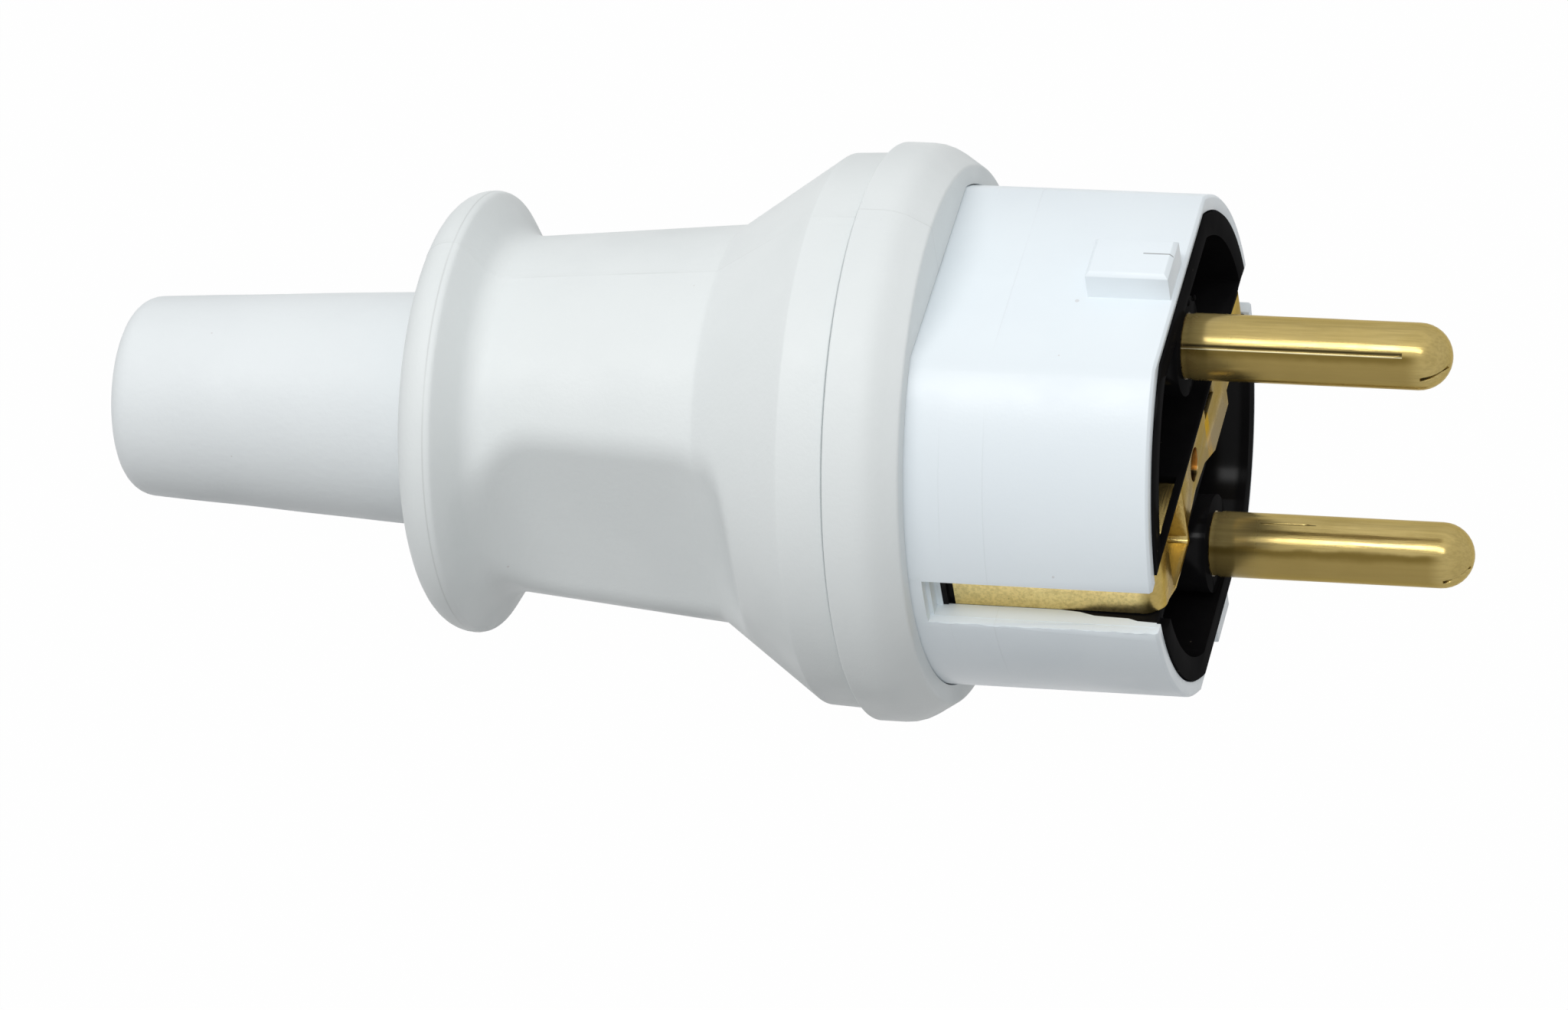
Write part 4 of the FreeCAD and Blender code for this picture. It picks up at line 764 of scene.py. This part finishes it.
def makeGrip(settings):
    piece = spunPiece("gripMoulding", settings["outside"], settings["steps"], settings["step"])
    floor = profileLine(settings["pocket"], 0.4)
    floor = floor[:max(range(len(floor)), key=lambda number: floor[number].x) + 1]
    openingRadius, openingRear = settings["frontOpening"]
    hollowRadius, hollowRear, hollowFront = settings["hollowSkin"]
    lineHalf, lineHeight, lineRadius = settings["mouldLine"]
    for vertex in piece.data.vertices:
        x, y, z = (value / mm for value in vertex.co)
        radius = math.hypot(y, z)
        if radius > settings["skinFrom"]:
            top = heightAt(floor, x)
            if top is not None:
                y = math.copysign(softLimit(abs(y), top, settings["pocketEdge"]), y)
            # fine mould line over the top and the underside
            if abs(y) < lineHalf and radius < lineRadius:
                z += math.copysign(lineHeight, z)
        elif radius > hollowRadius and hollowRear < x < hollowFront:
            y = math.copysign(min(abs(y), settings["hollow"]), y)
        if radius < openingRadius and x > openingRear:
            z = math.copysign(min(abs(z), settings["frontFlat"]), z)
        vertex.co = (x * mm, y * mm, z * mm)
    return piece


finishPiece(makeGrip(grip), "grip_body", "grip_white", 38)
print("grip made")


# bend relief sleeve

sleeve = {
    "steps": 192,
    "outside": [
        (-81.3, 4.6, 0.5), (-81.3, 7.4, 1.9), (-59.0, 8.67), (-56.2, 8.7), (-53.1, 8.7),
        (-53.1, 10.8), (-50.6, 10.8), (-50.6, 4.6, 0.3)],
    "footFlat": 9.1, "footRear": -53.2,
    "wave": 0.045,  # unevenness of the soft moulding
    "waveScale": 0.16, "waveRadius": 6, "waveFront": -56.5,
}


def makeSleeve(settings):
    piece = spunPiece("sleeveMoulding", settings["outside"], settings["steps"], 0.9)
    for vertex in piece.data.vertices:
        x, y, z = (value / mm for value in vertex.co)
        if x > settings["footRear"]:
            y = math.copysign(min(abs(y), settings["footFlat"]), y)
        radius = math.hypot(y, z)
        if x < settings["waveFront"] and radius > settings["waveRadius"]:
            lift = (noise.noise(Vector((x, y, z)) * settings["waveScale"]) - 1) * settings["wave"]
            y, z = y * (1 + lift / radius), z * (1 + lift / radius)
        vertex.co = (x * mm, y * mm, z * mm)
    return piece


finishPiece(makeSleeve(sleeve), "cable_sleeve", "sleeve_white", 38)
print("sleeve made")


# front shell

shell = {
    "edge": 0.14, "slotLow": -1.8, "outside": 18.0,
    "rag": 0.12, "ragCuts": 46, "ragWaves": (1.7, 2.3),
    "ragNear": (0.2, 0.16, 4),  # how far its points may lie off the edge, up and out, and its least length
    "flank": [  # thicker flank under the near strap leg, x and y
        (-16.8, -16.0), (-7.5, -16.0), (-6.0, -16.15), (-4.9, -16.45), (-2.4, -16.55), (-1.7, -16.78),
        (-0.3, -16.85), (-0.3, -17.3), (-16.8, -17.3)],
    "flankHeight": 1.3,
    "slotEnds": [  # low and high corner
        ((-17.3, -16.16, -2.4), (-15.98, -15.7, 2.3)), ((-17.4, -17.2, -2.4), (-16.42, -15.9, 2.3))],
}


def makeShell(settings):
    piece = mergedCopy("front_shell", "shellMoulding")
    softEdges(piece, settings["edge"], 38)
    # the outer edge of the near slot is a little ragged
    makeActive(piece)
    mesh = bmesh.new()
    mesh.from_mesh(piece.data)

    upward, outward, least = settings["ragNear"]

    def onSlotEdge(vertex):
        away = abs(math.hypot(vertex.co.y, vertex.co.z) / mm - settings["outside"])
        return vertex.co.y < 0 and abs(vertex.co.z / mm - settings["slotLow"]) < upward and away < outward

    ragged = [edge for edge in mesh.edges if all(onSlotEdge(vertex) for vertex in edge.verts)
              and abs(edge.verts[0].co.x - edge.verts[1].co.x) > least * mm]
    cut = bmesh.ops.subdivide_edges(mesh, edges=ragged, cuts=settings["ragCuts"])
    fine, finer = settings["ragWaves"]
    for vertex in [item for item in cut["geom_inner"] if isinstance(item, bmesh.types.BMVert)]:
        x = vertex.co.x / mm
        vertex.co.z += noise.noise(Vector((x * fine, 3.1, 0.4))) * settings["rag"] * mm
        vertex.co.y += noise.noise(Vector((x * finer, 7.7, 1.9))) * settings["rag"] * 0.5 * mm
    mesh.to_mesh(piece.data)
    mesh.free()
    flank = prism("flankWall", settings["flank"], settings["slotLow"] - settings["flankHeight"],
                  settings["slotLow"] + 0.02)
    ends = [cutBox("slotEnd", [b - a for a, b in zip(low, high)], [(a + b) / 2 for a, b in zip(low, high)])
            for low, high in settings["slotEnds"]]
    return joinPieces(piece, flank, *ends)


finishPiece(makeShell(shell), "front_shell", "shell_white", 32)
print("shell made")


# contact carrier with two tiny pips in its upper pocket

carrier = {
    "edge": 0.12,
    "bandFront": 0.16,  # the band stands a little in front of the rim
    "bossFront": -0.12, "bossRadius": 3.7,
    "bandZone": (-0.32, 14.5, 12.6),  # the band lies in front of this depth, and beyond this radius or height
    "bossZone": (-0.85, -0.75),  # depths between which the solid's bosses end
    # room for the strap's legs and bends: size and middle, the same on both sides
    "seats": [((16.0, 1.75, 4.05), (-7.6, 16.425, 0.125)), ((1.3, 1.5, 4.6), (-0.25, 15.1, 0.4))],
    "pips": [(1.7, 12.1), (3.3, 11.2)], "pipRadius": 0.24, "pipFlat": 0.6,
}


def makeCarrier(settings):
    piece = mergedCopy("contact_carrier", "carrierMoulding")
    depth, radius, height = settings["bandZone"]
    rear, front = settings["bossZone"]
    for vertex in piece.data.vertices:
        x, y, z = (value / mm for value in vertex.co)
        if x > depth and (math.hypot(y, z) > radius or abs(z) > height):
            vertex.co.x = settings["bandFront"] * mm
        elif rear < x < front and math.hypot(y, abs(z) - pinHeight) < settings["bossRadius"]:
            vertex.co.x = settings["bossFront"] * mm
    for size, (x, y, z) in settings["seats"]:
        for side in (-1, 1):
            cutAway(piece, cutBox("seatCut", size, (x, side * y, z)))
    softEdges(piece, settings["edge"], 40)
    for y, z in settings["pips"]:
        clearSelection()
        bpy.ops.mesh.primitive_uv_sphere_add(segments=20, ring_count=12, radius=settings["pipRadius"] * mm)
        pip = bpy.context.active_object
        for vertex in pip.data.vertices:
            vertex.co.x *= settings["pipFlat"]
            vertex.co += Vector((settings["bossFront"], y, z)) * mm
        joinPieces(piece, pip)
    return piece


finishPiece(makeCarrier(carrier), "contact_carrier", "carrier_black", 32)
print("carrier made")


# pins

pin = {
    "radius": 2.4, "front": -0.1, "tip": 19.0, "dome": 2.364, "steps": 96,
    "footStep": (0.42, 0.07, 0.08),  # length, depth and slope of the step at the foot
    "rearGap": 0.02,  # between the shank and the pin's rear part
    "seamDepth": 0.22, "slitWidth": 0.3, "slitFrom": 17.0,
    # turn, width, start and end of the seam
    "seam": {"line_pin": (pinSeam, 0.15, 0.0, 15.8), "neutral_pin": (3.8, 0.06, 3.5, 7.6)},
    "slitTurn": {"line_pin": 93, "neutral_pin": 103},  # degrees from +Z towards -Y
}


def makePin(node, z, settings):
    radius = settings["radius"]
    front = settings["front"]
    step, depth, slope = settings["footStep"]
    piece = spunPiece(node + "Shank", [
        (front, 0.0), (front, radius - depth, 0.05), (front + step, radius - depth),
        (front + step + slope, radius), (settings["tip"], radius, settings["dome"]),
        (settings["tip"], 0.0)], settings["steps"], 1.6, (0, z))
    turn, width, start, end = settings["seam"][node]
    cutAway(piece, cutBox("seamCut", (end - start, width, settings["seamDepth"] * 2),
                          ((start + end) / 2, 0, radius), turn, z))
    cutAway(piece, cutBox("slitCut", (6, settings["slitWidth"], 3.0),
                          (settings["slitFrom"] + 3, 0, radius * 0.96), settings["slitTurn"][node], z))
    rear = mergedCopy(node, node + "Rear")
    makeActive(rear)
    bpy.ops.object.mode_set(mode="EDIT")
    bpy.ops.mesh.select_all(action="SELECT")
    bpy.ops.mesh.bisect(plane_co=((front - settings["rearGap"]) * mm, 0, 0), plane_no=(1, 0, 0),
                        clear_outer=True, use_fill=True)
    bpy.ops.object.mode_set(mode="OBJECT")
    return joinPieces(piece, rear)


for node, z in (("line_pin", pinHeight), ("neutral_pin", -pinHeight)):
    finishPiece(makePin(node, z, pin), node, "pin_brass", 32)
print("pins made")


# earth strap and its socket

strap = {
    "edge": 0.07,
    "legShift": 0.5,  # the legs lie this much deeper
    "legFrom": 15.9,
    "bend": 1.5,  # radius of the bends
    "nearLow": -1.75,  # lower edge of the near end, in line with the leg
    "nearCorner": ((-0.4, -17.0, -1.0), (0.1, -16.1, -0.3)),  # box round its lower corner in the solid
    "cuts": 6,
}


def roundBend(piece, side, outer, radius, cuts):
    # Turns the square corner of the strip on one side into a round bend
    mesh = bmesh.new()
    mesh.from_mesh(piece.data)
    for number in range(1, cuts + 1):
        for place, normal in (((-radius * number / cuts, 0, 0), (1, 0, 0)),
                              ((0, side * (outer - radius * number / cuts), 0), (0, 1, 0))):
            near = [face for face in mesh.faces
                    if max(side * vertex.co.y for vertex in face.verts) > (outer - 5) * mm]
            around = set(near) | {edge for face in near for edge in face.edges} | \
                {vertex for face in near for vertex in face.verts}
            bmesh.ops.bisect_plane(mesh, geom=list(around), plane_co=Vector(place) * mm, plane_no=normal)
    for vertex in mesh.verts:
        u = vertex.co.x / mm + radius
        v = side * vertex.co.y / mm - outer + radius
        if u > 0 and v > 0:
            reach = max(u, v)
            angle = math.pi / 4 * (v / u if u >= v else 2 - u / v)
            vertex.co.x = (reach * math.cos(angle) - radius) * mm
            vertex.co.y = side * (outer - radius + reach * math.sin(angle)) * mm
    mesh.to_mesh(piece.data)
    mesh.free()


def makeStrap(settings):
    piece = mergedCopy("earth_strap", "strapSheet")
    mesh = bmesh.new()
    mesh.from_mesh(piece.data)
    for vertex in mesh.verts:
        if all(low < value / mm < high for value, low, high in zip(vertex.co, *settings["nearCorner"])):
            vertex.co.z = settings["nearLow"] * mm
    bmesh.ops.remove_doubles(mesh, verts=mesh.verts, dist=weld)
    bmesh.ops.dissolve_degenerate(mesh, edges=mesh.edges, dist=weld)
    mesh.to_mesh(piece.data)
    mesh.free()
    outer = max(vertex.co.y for vertex in piece.data.vertices) / mm - settings["legShift"]
    for vertex in piece.data.vertices:
        if abs(vertex.co.y) > settings["legFrom"] * mm:
            vertex.co.y -= math.copysign(settings["legShift"] * mm, vertex.co.y)
    for side in (-1, 1):
        roundBend(piece, side, outer, settings["bend"], settings["cuts"])
    softEdges(piece, settings["edge"], 40)
    return piece


finishPiece(makeStrap(strap), "earth_strap", "strap_brass", 32)
print("strap made")


# small parts inside and the socket's spring leaf

small = {"edge": 0.08}
slots = {row["node"]: row["material_slot"] for row in frame["record"]["subparts"]}
shaped = ("grip_body", "cable_sleeve", "front_shell", "contact_carrier", "line_pin", "neutral_pin",
          "earth_strap")
for node, slot in slots.items():
    if node not in shaped:
        piece = mergedCopy(node, node + "Piece")
        softEdges(piece, small["edge"], 40)
        finishPiece(piece, node, slot)
print("small parts made:", len(slots) - len(shaped))
